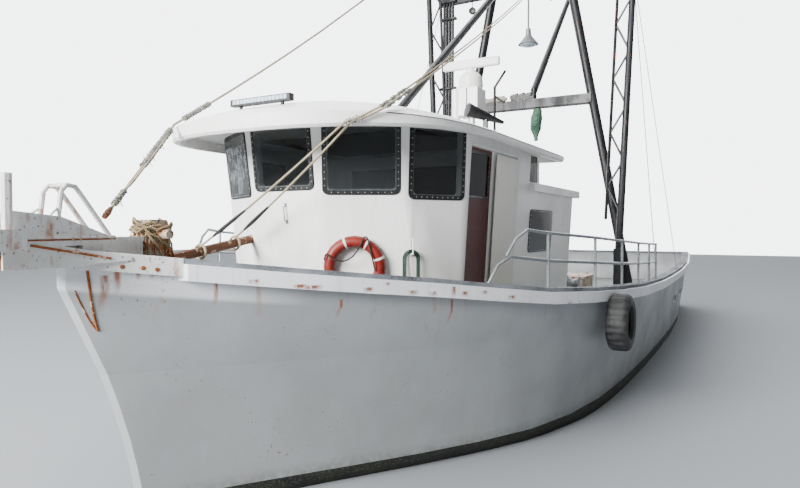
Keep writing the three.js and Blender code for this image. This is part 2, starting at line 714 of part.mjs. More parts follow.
const BOOM_SEAT = BEAM_Z + 150;
const boomTip = [
  BOOM_PIVOT_X - BOOM_LENGTH * Math.SQRT1_2,
  0,
  BOOM_HEEL_Z + BOOM_LENGTH * Math.SQRT1_2,
];
const boom = join(
  rod([BOOM_PIVOT_X, 0, BOOM_SEAT + GAP], [BOOM_PIVOT_X, 0, BOOM_HEEL_Z + 60], 70, 12),
  rod([BOOM_PIVOT_X, 0, BOOM_HEEL_Z], boomTip, 95, 12, 70),
  rod([BOOM_PIVOT_X, 0, LIFT_Z - GAP], [BOOM_PIVOT_X, 0, LIFT_Z - 80], 30, 8),
  rod([BOOM_PIVOT_X, 0, LIFT_Z - 60], [boomTip[0] + 80, 0, boomTip[2] - 60], 12, 6),
);

// Outriggers stow upright beside the mast and swing out over the sides.
const RUNGS = { first: 900, step: 1250, spare: 1600, width: 330 };
const STEP = { half: 90, ear: 105, outer: 140, pin: 40 };

function outrigger(side) {
  const [x, y, z] = [OUTRIGGER.x, side * OUTRIGGER.y, OUTRIGGER.z];
  const lean = rad(OUTRIGGER.lean) * side;
  const at = (up, across) => [
    x,
    y + up * Math.sin(lean) + across * Math.cos(lean),
    z + up * Math.cos(lean) - across * Math.sin(lean),
  ];
  const inner = -side * RUNGS.width;
  const rungs = [];
  for (let s = RUNGS.first; s < OUTRIGGER.length - RUNGS.spare; s += RUNGS.step) {
    const middle = at(s + RUNGS.step / 2, inner);
    rungs.push(rod(at(s, 0), middle, 26, 6));
    rungs.push(rod(middle, at(s + RUNGS.step, 0), 26, 6));
  }
  const last = RUNGS.first + (RUNGS.step * rungs.length) / 2;
  return join(
    rod(at(0, 0), at(OUTRIGGER.length, 0), 85, 12, 60),
    rod(at(RUNGS.first - 140, inner), at(last, inner), 36, 8),
    rod([x - 150, y, z], [x + 150, y, z], STEP.pin, 16),
    ...rungs,
  );
}

function outriggerStep(side) {
  const [x, y, z] = [OUTRIGGER.x, side * OUTRIGGER.y, OUTRIGGER.z];
  const plate = (x0, x1, top) => block(x0, x1, y - STEP.half, y + STEP.half, WORK_TOP, top);
  return cut(
    join(
      plate(x - STEP.outer, x - STEP.ear, z + 90),
      plate(x + STEP.ear, x + STEP.outer, z + 90),
      plate(x - STEP.outer, x + STEP.outer, z - 260),
    ),
    rod([x - 200, y, z], [x + 200, y, z], STEP.pin + 1, 16),
  );
}

const LAMP = { x: MAST_X + 130, z: 7900 };
const SHADE = [[0, 0], [60, 0], [75, -170], [260, -400], [0, -400]];
const floodlight = join(
  rod([LAMP.x, 0, CROSSTREE_Z - 200], [LAMP.x, 0, LAMP.z], 25, 8),
  block(MAST_X + 90 + GAP, MAST_X + 160, -40, 40, CROSSTREE_Z - 220, CROSSTREE_Z + 60),
  turned(SHADE, [LAMP.x, 0, LAMP.z], [0, 0, 1], 16),
);

// The forestay runs from its foot on the bow platform over the roof's brow, and sags to the topmast.
const PLATFORM_HALF = 170;
const PLATFORM_Z = 2740;
const STAY = { foot: [10560, 0, 2950], brow: [8850, -1090, 4085], top: [MAST_X, 0, 12750] };
const STAY_SAG = 500;
const STAY_RADIUS = 16;
const STAY_SHARES = [0, 0.1, 0.25, 0.5, 0.75, 1];

function stayLine() {
  const [brow, top] = [new THREE.Vector3(...STAY.brow), new THREE.Vector3(...STAY.top)];
  const rise = STAY_SHARES.map((share) => {
    const point = brow.clone().lerp(top, share);
    return [point.x, point.y, point.z - 4 * STAY_SAG * share * (1 - share)];
  });
  return [STAY.foot, ...rise];
}

const stayPoints = stayLine();
const forestay = cut(
  join(
    rod([10600, 0, 2700], [STAY.foot[0], 0, STAY.foot[2] + 20], 28, 8),
    ...stayPoints.slice(1).map((point, i) => rod(stayPoints[i], point, STAY_RADIUS, 8)),
  ),
  block(10000, 12000, -100, 100, 2500, PLATFORM_Z + GAP),
  topmast(GAP),
);
const CHEEK = [
  [10620, PLATFORM_Z],
  [10620, 2690],
  [11070, 2670],
  [11070, 2495],
  [11560, 2500],
  [11560, PLATFORM_Z],
];
const TOE = [
  [10620, PLATFORM_Z],
  [11560, PLATFORM_Z],
  [11560, 2960],
  [11450, 2950],
  [11100, 2915],
];
const cheeks = [-1, 1].map((side) => {
  const [near, far] = [side * (PLATFORM_HALF - 20), side * PLATFORM_HALF];
  const place = [Math.min(near, far), Math.max(near, far)];
  return join(plateXZ(CHEEK, ...place), plateXZ(TOE, ...place));
});

// Wing plates run from the cheeks back along both bows, outside the bow plate.
const WING = { fore: 11090, aft: 10640, y: [155, 425], thickness: 15 };
const wings = [-1, 1].map((side) => {
  const section = (x, y, z0, z1) => [
    [x, side * y, z0],
    [x, side * (y + WING.thickness), z0],
    [x, side * (y + WING.thickness), z1],
    [x, side * y, z1],
  ];
  return loft([
    section(WING.fore, WING.y[0], 2495, 2670),
    section(WING.aft, WING.y[1], 2545, 2575),
  ]);
});
const platformFoot = cut(
  block(10300, 10900, -150, 150, 2505, 2720),
  hullSlab(BOW_PLATE.out, [knuckle, railZ], 0, BOW_PLATE.aft).translate([0, 0, GAP]),
);
const bowPlatform = join(
  ...cheeks,
  ...wings,
  platformFoot,
  block(10300, 11560, -PLATFORM_HALF, PLATFORM_HALF, 2700, PLATFORM_Z),
  block(11460, 11700, -320, 320, 2650, 2810),
  ...[-270, 270].map((y) => rod([11580, y, 2800], [11580, y, 3230], 40, 8)),
);
const ROLLER_X = [11320, 11430];
const rollerHalf = PLATFORM_HALF - 20 - GAP;
const rollers = join(
  ...ROLLER_X.map((x) => rod([x, -120, 2545], [x, 120, 2545], 52, 16)),
  block(ROLLER_X[0], ROLLER_X[1], -rollerHalf, rollerHalf, 2530, 2560),
);
const PULPIT = { y: 125, radius: 22, crossX: 11010, crossZ: 3180 };
const crossPipe = rod(
  [PULPIT.crossX, PULPIT.y, PULPIT.crossZ],
  [PULPIT.crossX, PULPIT.radius + GAP - PULPIT.y, PULPIT.crossZ],
  18,
  10,
);
const pulpits = [-1, 1].map((side) => {
  const y = side * PULPIT.y;
  const points = [
    [11120, y, PLATFORM_Z + GAP],
    [11060, y, 3170],
    [10960, y, 3190],
    [10620, y, PLATFORM_Z + GAP],
  ];
  const name = side > 0 ? 'pulpit_rail_port' : 'pulpit_rail_starboard';
  const belowPlate = block(10000, 12000, -500, 500, 2500, PLATFORM_Z + GAP);
  const rail = cut(pipe(points, PULPIT.radius, 50, 14), belowPlate);
  return { name, body: side > 0 ? join(rail, crossPipe) : rail };
});

// Windlass on the foredeck with its brace to the wheelhouse front.
const WINDLASS = { x: 9700, z: 2250, shaft: 45 };
const WINDLASS_CHEEK = [[9350, FORE_TOP], [10050, FORE_TOP], [9850, 2400], [9550, 2400]];
const windlassFrame = cut(
  join(
    plateXZ(WINDLASS_CHEEK, -370, -330),
    plateXZ(WINDLASS_CHEEK, 330, 370),
    block(9350, 10050, -370, 370, FORE_TOP, FORE_TOP + 60),
    block(9980, 10180, -100, 100, FORE_TOP, 2900),
    rod([10080, -260, 2760], [10080, 260, 2760], 45, 10),
  ),
  rod([WINDLASS.x, -500, WINDLASS.z], [WINDLASS.x, 500, WINDLASS.z], WINDLASS.shaft + 1, 24),
);
const WINDLASS_SPOOL = [
  [0, -310], [250, -310], [250, -280], [170, -270],
  [170, 270], [250, 280], [250, 310], [0, 310],
];
const GYPSY = [[0, -120], [130, -120], [80, -20], [80, 40], [120, 120], [0, 120]];
const onWindlass = (y) => [WINDLASS.x, y, WINDLASS.z];
const windlassDrum = join(
  rod(onWindlass(-640), onWindlass(640), WINDLASS.shaft, 24),
  turned(WINDLASS_SPOOL, onWindlass(0), [0, 1, 0], 20),
  ...[-1, 1].map((side) => turned(GYPSY, onWindlass(side * 520), [0, side, 0], 16)),
);
const windlassBrace = cut(
  join(
    rod([9640, -374, 2470], [7840, -740, 2682], 55, 8),
    rod([9600, -352, 2400 + GAP], [9600, -352, 2480], 24, 8),
  ),
  house(FACES, WHEELHOUSE_AFT, FORE_TOP - 100, SOFFIT_Z + 100, -GAP),
);

// Deck winch behind the deckhouse: two drums turn on one shaft line.
const WINCH = { x: -250, z: 1560, shaft: 50, stands: [-1300, 0, 1300] };
const WINCH_STAND = [[-650, WORK_TOP], [150, WORK_TOP], [-80, 1720], [-420, 1720]];
const winchFrame = cut(
  join(
    block(-700, 200, -1380, 1380, WORK_TOP, WORK_TOP + 80),
    ...WINCH.stands.map((y) => plateXZ(WINCH_STAND, y - 40, y + 40)),
    block(-640, -560, -1300, 1300, WORK_TOP + 40, WORK_TOP + 160),
  ),
  rod([WINCH.x, -1400, WINCH.z], [WINCH.x, 1400, WINCH.z], WINCH.shaft + 1, 24),
);
const WINCH_SPOOL = [
  [0, -590], [420, -590], [420, -560], [250, -550],
  [250, 550], [420, 560], [420, 590], [0, 590],
];
const WARPING_HEAD = [[0, 0], [150, 0], [95, 90], [95, 160], [140, 240], [0, 240]];
const onWinch = (y) => [WINCH.x, y, WINCH.z];
const winchDrums = [-1, 1].map((side) => ({
  name: side > 0 ? 'winch_drum_port' : 'winch_drum_starboard',
  body: join(
    turned(WINCH_SPOOL, onWinch(side * 650), [0, 1, 0], 24),
    rod(onWinch(side * 20), onWinch(side * 1600), WINCH.shaft, 24),
    turned(WARPING_HEAD, onWinch(side * 1370), [0, side, 0], 16),
  ),
}));

// Fish hold hatch
const HATCH = { x0: -5600, x1: -4200, half: 750, top: 1350, wall: 60, lap: 70 };
const holdHalf = HATCH.half - HATCH.wall;
const lidHalf = HATCH.half + HATCH.lap;
const hatchCoaming = cut(
  block(HATCH.x0, HATCH.x1, -HATCH.half, HATCH.half, WORK_TOP, HATCH.top),
  block(
    HATCH.x0 + HATCH.wall,
    HATCH.x1 - HATCH.wall,
    -holdHalf,
    holdHalf,
    WORK_TOP + 40,
    HATCH.top + 50,
  ),
);
const hatchLid = join(
  block(HATCH.x0 - HATCH.lap, HATCH.x1 + HATCH.lap, -lidHalf, lidHalf, HATCH.top + GAP, HATCH.top + 60),
  block(HATCH.x0 + 300, HATCH.x1 - 300, -25, 25, HATCH.top + 50, HATCH.top + 110),
);

// Rudder and propeller
const RUDDER_BLADE = [
  [-9760, -2140],
  [-10650, -2140],
  [-10780, -1300],
  [-10560, -760],
  [-9760, -740],
];
const rudder = join(
  rod([RUDDER_X, 0, SHOE_TOP + GAP], [RUDDER_X, 0, -450], STOCK_RADIUS, 24),
  plateXZ(RUDDER_BLADE, -35, 35),
);
const BLADES = 4;
const BLADE_THICKNESS = 26;
const BLADE_PITCH = 35;
const BOSS = [[0, -150], [60, -130], [115, -20], [120, 110], [0, 110]];

function blade(turn) {
  const shape = new THREE.Shape();
  shape.moveTo(-70, 90);
  shape.bezierCurveTo(-260, 260, -250, PROPELLER_RADIUS, 0, PROPELLER_RADIUS);
  shape.bezierCurveTo(250, PROPELLER_RADIUS, 230, 260, 70, 90);
  const options = { depth: BLADE_THICKNESS, bevelEnabled: false, curveSegments: 6 };
  const form = new THREE.ExtrudeGeometry(shape, options);
  form.translate(0, 0, -BLADE_THICKNESS / 2).rotateX(Math.PI / 2).rotateZ(rad(-BLADE_PITCH));
  const upright = form.rotateX(Math.PI / 2).rotateY(Math.PI / 2);
  return solid(upright.rotateX(turn).translate(PROPELLER_X, 0, SHAFT_Z));
}

const propeller = join(
  rod([SKEG_AFT + 150, 0, SHAFT_Z], [PROPELLER_X, 0, SHAFT_Z], SHAFT_RADIUS, 24),
  turned(BOSS, [PROPELLER_X, 0, SHAFT_Z], [1, 0, 0], 18),
  ...Array.from({ length: BLADES }, (_, i) => blade((i * 2 * Math.PI) / BLADES)),
);

// Two-bar pipe rails on the cap, from beside the wheelhouse aft to the break of the deck.
const RAIL_BARS = [
  { height: 340, foot: 3580, corner: 3800 },
  { height: 690, foot: 3860, corner: 4100 },
];
const RAIL_END = 10300;
const RAIL_IN = 50;
const STANCHIONS = [4600, 5800, 7000, 8200, 9300, 10250];

function railPoint(side, aft, height) {
  return [STEM_X - aft, side * (fair('railY', aft) - RAIL_IN), railZ(aft) + height];
}

function sideRail(side) {
  const [low, high] = RAIL_BARS;
  const run = [4600, 5800, 7000, 8200, 9300, RAIL_END];
  const lower = [railPoint(side, low.foot, -20), railPoint(side, low.corner, low.height)];
  const upper = [railPoint(side, high.foot, low.height), railPoint(side, high.corner, high.height)];
  const posts = STANCHIONS.map((aft) =>
    rod(railPoint(side, aft, -40), railPoint(side, aft, high.height), 20, 8),
  );
  const bars = join(
    pipe([...lower, ...run.map((aft) => railPoint(side, aft, low.height))], 21, 70, 26, 6),
    pipe([...upper, ...run.map((aft) => railPoint(side, aft, high.height))], 21, 70, 26, 6),
    ...posts,
  );
  return cut(bars, capBand.translate([0, 0, GAP]));
}

// Life ring on the port bow face of the wheelhouse, and a fender on the port side.
const ringFace = faceNamed('port_bow');
const RING = { u: -3165, z: 2360, major: 308, minor: 70 };
const ringForm = new THREE.TorusGeometry(RING.major, RING.minor, 8, 28);
ringForm.translate(RING.u, (RING.z - SILL_Z) / Math.cos(rad(ringFace.lean)), RING.minor + GAP);
const lifeRing = onFace(ringFace, ringForm);

const FENDER = { fore: 5500, rear: 6700, z: 1480, major: 300, minor: 115 };
const guardSide = [FENDER.fore, FENDER.rear].map((aft) => {
  const slope = (fair('railY', aft + 50) - fair('railY', aft - 50)) / 100;
  return fair('railY', aft) + GUARD_OUT * Math.hypot(1, slope);
});
const fenderTurn = Math.atan((guardSide[1] - guardSide[0]) / (FENDER.rear - FENDER.fore));
const fenderY = (guardSide[0] + guardSide[1]) / 2 + (FENDER.minor + GAP) / Math.cos(fenderTurn);
const fenderX = STEM_X - (FENDER.fore + FENDER.rear) / 2;
const fenderForm = new THREE.TorusGeometry(FENDER.major, FENDER.minor, 12, 24).rotateX(Math.PI / 2);
fenderForm.rotateZ(-fenderTurn).translate(fenderX, fenderY, FENDER.z);
const fender = solid(fenderForm);

// Finishes: colour, roughness and metalness
const FINISHES = {
  hullWhite: ['#e4e4e0', 0.5, 0],
  bottomBlack: ['#14140f', 0.7, 0],
  houseWhite: ['#ecebe6', 0.45, 0],
  weatheredWood: ['#8d9096', 0.85, 0],
  deckGrey: ['#9b9f9c', 0.85, 0],
  rigBlack: ['#1c1e22', 0.5, 0.3],
  galvanised: ['#a3a6a6', 0.5, 0.7],
  rustyWhite: ['#c9bfae', 0.7, 0.2],
  doorMaroon: ['#644844', 0.5, 0],
  paneBlack: ['#16191b', 0.1, 0],
  ringOrange: ['#c2503f', 0.5, 0],
  tyreBlack: ['#161616', 0.9, 0],
  hoseGreen: ['#2f5a4a', 0.5, 0],
  bronze: ['#8a6a3c', 0.4, 0.8],
  wire: ['#8b8577', 0.6, 0.4],
};
const NODES = [
  ['hull_topsides', hullTopsides, 'hullWhite'],
  ['hull_bottom', hullBottom, 'bottomBlack'],
  ['keel', keel, 'bottomBlack'],
  ['bulwark', bulwark, 'hullWhite'],
  ['guard_rail', guardRail, 'hullWhite'],
  ['cap_rail', capRail, 'weatheredWood'],
  ['stem_plate', stemPlate, 'hullWhite'],
  ['foredeck', foredeck, 'deckGrey'],
  ['working_deck', workDeck, 'deckGrey'],
  ['wheelhouse_walls', wheelhouse, 'houseWhite'],
  ['wheelhouse_roof', roof, 'houseWhite'],
  ...panes.map(({ name, body }) => [name, body, 'paneBlack']),
  ['door_port', doorLeaf(sides[0]), 'doorMaroon'],
  ['door_starboard', doorLeaf(sides[1]), 'doorMaroon'],
  ['deckhouse_walls', deckhouse, 'houseWhite'],
  ['deckhouse_roof', deckhouseRoof, 'houseWhite'],
  ['upper_cabin', upperCabin, 'houseWhite'],
  ...deckPanes.map(({ name, body }) => [name, body, 'paneBlack']),
  ['aft_door', aftDoor, 'doorMaroon'],
  ['exhaust_stack', exhaust, 'rigBlack'],
  ['light_bar', lightBar, 'rigBlack'],
  ['radar_post', radarPost, 'houseWhite'],
  ['radar_scanner', radarScanner, 'houseWhite'],
  ['horn', horn, 'rigBlack'],
  ['mast', mast, 'rigBlack'],
  ['boom', boom, 'rigBlack'],
  ['outrigger_port', outrigger(1), 'rigBlack'],
  ['outrigger_starboard', outrigger(-1), 'rigBlack'],
  ['outrigger_step_port', outriggerStep(1), 'rigBlack'],
  ['outrigger_step_starboard', outriggerStep(-1), 'rigBlack'],
  ['floodlight', floodlight, 'galvanised'],
  ['forestay', forestay, 'wire'],
  ['bow_platform', bowPlatform, 'hullWhite'],
  ['bow_rollers', rollers, 'galvanised'],
  ...pulpits.map(({ name, body }) => [name, body, 'hullWhite']),
  ['windlass_frame', windlassFrame, 'rustyWhite'],
  ['windlass_drum', windlassDrum, 'rustyWhite'],
  ['windlass_brace', windlassBrace, 'rustyWhite'],
  ['winch_frame', winchFrame, 'rigBlack'],
  ...winchDrums.map(({ name, body }) => [name, body, 'galvanised']),
  ['hatch_coaming', hatchCoaming, 'hullWhite'],
  ['hatch_lid', hatchLid, 'hullWhite'],
  ['rudder', rudder, 'bottomBlack'],
  ['propeller', propeller, 'bronze'],
  ['side_rail_port', sideRail(1), 'galvanised'],
  ['side_rail_starboard', sideRail(-1), 'galvanised'],
  ['life_ring', lifeRing, 'ringOrange'],
  ['tyre_fender', fender, 'tyreBlack'],
  ['hose', hose, 'hoseGreen'],
];

const trawler = new THREE.Group();
for (const [name, body, finish] of NODES) {
  const { vertProperties, triVerts } = body.getMesh();
  const geometry = new THREE.BufferGeometry();
  geometry.setAttribute('position', new THREE.BufferAttribute(vertProperties, 3));
  geometry.setIndex(new THREE.BufferAttribute(triVerts, 1));
  geometry.computeVertexNormals();
  const [color, roughness, metalness] = FINISHES[finish];
  const material = new THREE.MeshStandardMaterial({ color, roughness, metalness });
  const mesh = new THREE.Mesh(geometry, material);
  mesh.name = name;
  trawler.add(mesh);
}

export default trawler;
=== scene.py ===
"""Dresses the fishing trawler: paint, rust, glass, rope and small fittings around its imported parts.

Sizes are metres in the boat's own frame: +X bow, +Y port, +Z up, origin amidships on the waterline.
"""

import logging
import math
import random
from dataclasses import dataclass, field, replace
from enum import Enum
from typing import Any, Optional, Sequence, Union

import bmesh
import bpy
from mathutils import Matrix, Vector
from mathutils.bvhtree import BVHTree


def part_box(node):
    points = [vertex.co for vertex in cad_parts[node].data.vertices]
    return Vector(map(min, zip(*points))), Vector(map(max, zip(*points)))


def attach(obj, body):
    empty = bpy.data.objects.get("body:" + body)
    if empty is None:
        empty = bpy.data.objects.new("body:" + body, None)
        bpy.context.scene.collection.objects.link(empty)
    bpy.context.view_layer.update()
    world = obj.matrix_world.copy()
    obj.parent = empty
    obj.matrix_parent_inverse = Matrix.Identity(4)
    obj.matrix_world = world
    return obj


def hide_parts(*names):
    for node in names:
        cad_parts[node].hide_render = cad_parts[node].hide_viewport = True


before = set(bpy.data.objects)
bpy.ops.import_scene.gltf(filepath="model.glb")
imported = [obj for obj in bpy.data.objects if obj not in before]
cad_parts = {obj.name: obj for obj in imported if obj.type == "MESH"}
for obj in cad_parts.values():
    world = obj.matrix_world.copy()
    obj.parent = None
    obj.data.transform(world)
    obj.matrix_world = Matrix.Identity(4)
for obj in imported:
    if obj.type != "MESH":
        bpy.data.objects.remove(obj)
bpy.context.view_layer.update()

log = logging.getLogger("trawler")

Pair = tuple[float, float]
Triple = tuple[float, float, float]
Four = tuple[float, float, float, float]
Point = Union[Sequence[float], Vector]
Socket = bpy.types.NodeSocket
Tree = bpy.types.NodeTree
Thing = bpy.types.Object
Mark = tuple[Vector, Vector]

IMAGE_WIDTH = 800
IMAGE_HEIGHT = 488


class Body(str, Enum):
    """The bodies that the dressed pieces ride on."""

    HULL = "hull"
    DOOR_PORT = "door_port"
    DOOR_STARBOARD = "door_starboard"
    AFT_DOOR = "aft_door"
    HATCH_LID = "hatch_lid"
    RADAR = "radar_scanner"
    WINDLASS = "windlass_drum"
    WINCH_PORT = "winch_drum_port"
    WINCH_STARBOARD = "winch_drum_starboard"
    RUDDER = "rudder"


# Colour and nodes


def to_linear(code: str) -> Four:
    """Turn an sRGB hex colour into linear light.

    Args:
        code: The colour as "#rrggbb".

    Returns:
        Red, green, blue and an alpha of one.
    """
    shares = [int(code[i : i + 2], 16) / 255 for i in (1, 3, 5)]
    red, green, blue = [s / 12.92 if s <= 0.04045 else ((s + 0.055) / 1.055) ** 2.4 for s in shares]
    return red, green, blue, 1.0


def add(tree: Tree, kind: str, plugs: Optional[dict] = None, out: int = 0, **settings: Any) -> Socket:
    """Add a shader node with its settings and links.

    Args:
        tree: The node tree to add it to.
        kind: The node's type name, without the part that all shader nodes share.
        plugs: Input name or number to a socket that feeds it or to a plain value.
        out: The number of the output that is wanted.
        settings: The node's own properties.

    Returns:
        That output.
    """
    node = tree.nodes.new("ShaderNode" + kind)
    for name, value in settings.items():
        setattr(node, name, value)
    for key, value in (plugs or {}).items():
        if isinstance(value, Socket):
            tree.links.new(value, node.inputs[key])
        else:
            node.inputs[key].default_value = value
    return node.outputs[out]


def per_mm(size_mm: float) -> float:
    """Return the pattern scale, in repeats a metre, of features of one real size."""
    return 1000 / size_mm


# Patterns


@dataclass(frozen=True)
class Pattern:
    """A mask that says where a coat lies or a surface stands proud."""

    def mask(self, tree: Tree, place: Socket) -> Socket:
        """Draw the mask.

        Args:
            tree: The node tree.
            place: The place in the boat's frame.

        Returns:
            The mask, from nought to one.
        """
        raise NotImplementedError


@dataclass(frozen=True)
class Mottle(Pattern):
    """Soft-edged patches of one real size; longer than one in a direction stretches them along it."""

    size_mm: float
    low: float
    high: float
    longer: Triple = (1, 1, 1)
    detail: float = 5
    roughness: float = 0.55

    def mask(self, tree: Tree, place: Socket) -> Socket:
        """Draw the patches from noise.

        Args:
            tree: The node tree.
            place: The place.

        Returns:
            The mask.
        """
        scale = [1 / share for share in self.longer]
        spread = add(tree, "Mapping", {"Vector": place, "Scale": scale})
        plugs = {"Vector": spread, "Scale": per_mm(self.size_mm)}
        plugs |= {"Detail": self.detail, "Roughness": self.roughness}
        noise = add(tree, "TexNoise", plugs)
        return add(tree, "MapRange", {"Value": noise, "From Min": self.low, "From Max": self.high})


@dataclass(frozen=True)
class Cells(Pattern):
    """Cells of one real size, such as spangle, or the threads that run between net cells."""

    size_mm: float
    low: float
    high: float
    edges: bool = False
    longer: Triple = (1, 1, 1)

    def mask(self, tree: Tree, place: Socket) -> Socket:
        """Draw the cells, or the lines between them.

        Args:
            tree: The node tree.
            place: The place.

        Returns:
            The mask.
        """
        scale = [1 / share for share in self.longer]
        spread = add(tree, "Mapping", {"Vector": place, "Scale": scale})
        feature = "DISTANCE_TO_EDGE" if self.edges else "F1"
        plugs = {"Vector": spread, "Scale": per_mm(self.size_mm)}
        reach = add(tree, "TexVoronoi", plugs, feature=feature)
        return add(tree, "MapRange", {"Value": reach, "From Min": self.low, "From Max": self.high})


@dataclass(frozen=True)
class Ribs(Pattern):
    """Even waves of one real pitch across an axis, such as ribs, planks or threads."""

    pitch_mm: float
    axis: str = "X"
    low: float = 0.0
    high: float = 1.0

    def mask(self, tree: Tree, place: Socket) -> Socket:
        """Draw the waves.

        Args:
            tree: The node tree.
            place: The place.

        Returns:
            The mask.
        """
        # A wave's own scale counts twenty radians to the unit.
        plugs = {"Vector": place, "Scale": per_mm(self.pitch_mm) * math.tau / 20}
        wave = add(tree, "TexWave", plugs, 1, bands_direction=self.axis)
        return add(tree, "MapRange", {"Value": wave, "From Min": self.low, "From Max": self.high})


@dataclass(frozen=True)
class Strands(Pattern):
    """The crowns of strands twisted along a line, from the line map of its mesh."""

    pitch_mm: float = 70
    count: int = 3

    def mask(self, tree: Tree, place: Socket) -> Socket:
        """Twist the strands.

        Args:
            tree: The node tree.
            place: The place in the boat's frame, which a line doesn't use.

        Returns:
            The mask, from nought in the lay to one on a crown.
        """
        where = add(tree, "UVMap", uv_map=Meshwork.LINE)
        turn, gone = [add(tree, "SeparateXYZ", {0: where}, i) for i in (0, 1)]
        plugs = {0: gone, 1: per_mm(self.pitch_mm), 2: turn}
        phase = add(tree, "Math", plugs, operation="MULTIPLY_ADD")
        angle = add(tree, "Math", {0: phase, 1: math.tau * self.count}, operation="MULTIPLY")
        crown = add(tree, "Math", {0: angle}, operation="SINE")
        return add(tree, "MapRange", {"Value": crown, "From Min": -1.0, "From Max": 1.0})


@dataclass(frozen=True)
class Level(Pattern):
    """A band across an axis: nought at one level and full at the other."""

    nought: float
    full: float
    axis: int = 2

    def mask(self, tree: Tree, place: Socket) -> Socket:
        """Draw the band.

        Args:
            tree: The node tree.
            place: The place.

        Returns:
            The mask.
        """
        height = add(tree, "SeparateXYZ", {0: place}, self.axis)
        return add(tree, "MapRange", {"Value": height, "From Min": self.nought, "From Max": self.full})


@dataclass(frozen=True)
class UnderSheer(Pattern):
    """A band that follows the rail: nought at one depth under it and full at the other."""

    nought: float
    full: float
    lowest_x: float = -1.0
    rail: float = 1.78
    fore: float = 0.0060
    aft: float = 0.0017

    def mask(self, tree: Tree, place: Socket) -> Socket:
        """Measure the depth under the rail's sheer.

        Args:
            tree: The node tree.
            place: The place.

        Returns:
            The mask.
        """
        x, z = [add(tree, "SeparateXYZ", {0: place}, i) for i in (0, 2)]
        along = add(tree, "Math", {0: x, 1: self.lowest_x}, operation="SUBTRACT")
        square = add(tree, "Math", {0: along, 1: along}, operation="MULTIPLY")
        ahead = add(tree, "Math", {0: along, 1: 0.0}, operation="GREATER_THAN")
        plugs = {0: ahead, 1: self.fore - self.aft, 2: self.aft}
        bend = add(tree, "Math", plugs, operation="MULTIPLY_ADD")
        height = add(tree, "Math", {0: square, 1: bend, 2: self.rail}, operation="MULTIPLY_ADD")
        depth = add(tree, "Math", {0: height, 1: z}, operation="SUBTRACT")
        return add(tree, "MapRange", {"Value": depth, "From Min": self.nought, "From Max": self.full})


@dataclass(frozen=True)
class Weeps(Pattern):
    """Streaks that run down from given places, each with X, Z, half width and length in metres."""

    places: tuple[Four, ...]
    ragged_mm: float = 45
    core: float = 0.3
    fading: float = 0.35
    head: float = 0.01

    def mask(self, tree: Tree, place: Socket) -> Socket:
        """Draw each streak, ragged at its sides and fading to its foot.

        Args:
            tree: The node tree.
            place: The place.

        Returns:
            The mask.
        """
        x, z = [add(tree, "SeparateXYZ", {0: place}, i) for i in (0, 2)]
        ragged = Mottle(self.ragged_mm, 0.28, 0.52, (1, 1, 3)).mask(tree, place)
        most: Union[Socket, float] = 0.0
        for at_x, top, half, length in self.places:
            aside = add(tree, "Math", {0: x, 1: at_x}, operation="SUBTRACT")
            aside = add(tree, "Math", {0: aside}, operation="ABSOLUTE")
            near = add(tree, "MapRange", {"Value": aside, "From Min": half, "From Max": half * self.core})
            foot = {"Value": z, "From Min": top - length, "From Max": top - length * self.fading}
            fade = add(tree, "MapRange", foot)
            start = add(tree, "MapRange", {"Value": z, "From Min": top + self.head, "From Max": top})
            streak = add(tree, "Math", {0: near, 1: fade}, operation="MULTIPLY")
            streak = add(tree, "Math", {0: streak, 1: start}, operation="MULTIPLY")
            most = add(tree, "Math", {0: streak, 1: most}, operation="MAXIMUM")
        return add(tree, "Math", {0: most, 1: ragged}, operation="MULTIPLY")


@dataclass(frozen=True)
class Joined(Pattern):
    """Where several patterns show at once."""

    parts: tuple[Pattern, ...]

    def mask(self, tree: Tree, place: Socket) -> Socket:
        """Multiply the patterns' masks.

        Args:
            tree: The node tree.
            place: The place.

        Returns:
            The mask.
        """
        share = self.parts[0].mask(tree, place)
        for part in self.parts[1:]:
            plugs = {0: share, 1: part.mask(tree, place)}
            share = add(tree, "Math", plugs, operation="MULTIPLY")
        return share


# Finishes


@dataclass(frozen=True)
class Coat:
    """A layer over a finish: its colour, how well it covers, and where it lies."""

    colour: str
    share: float
    where: Pattern


@dataclass(frozen=True)
class Relief:
    """A height over a finish, raised where its depth is above nought, and where it stands."""

    depth_mm: float
    where: Pattern


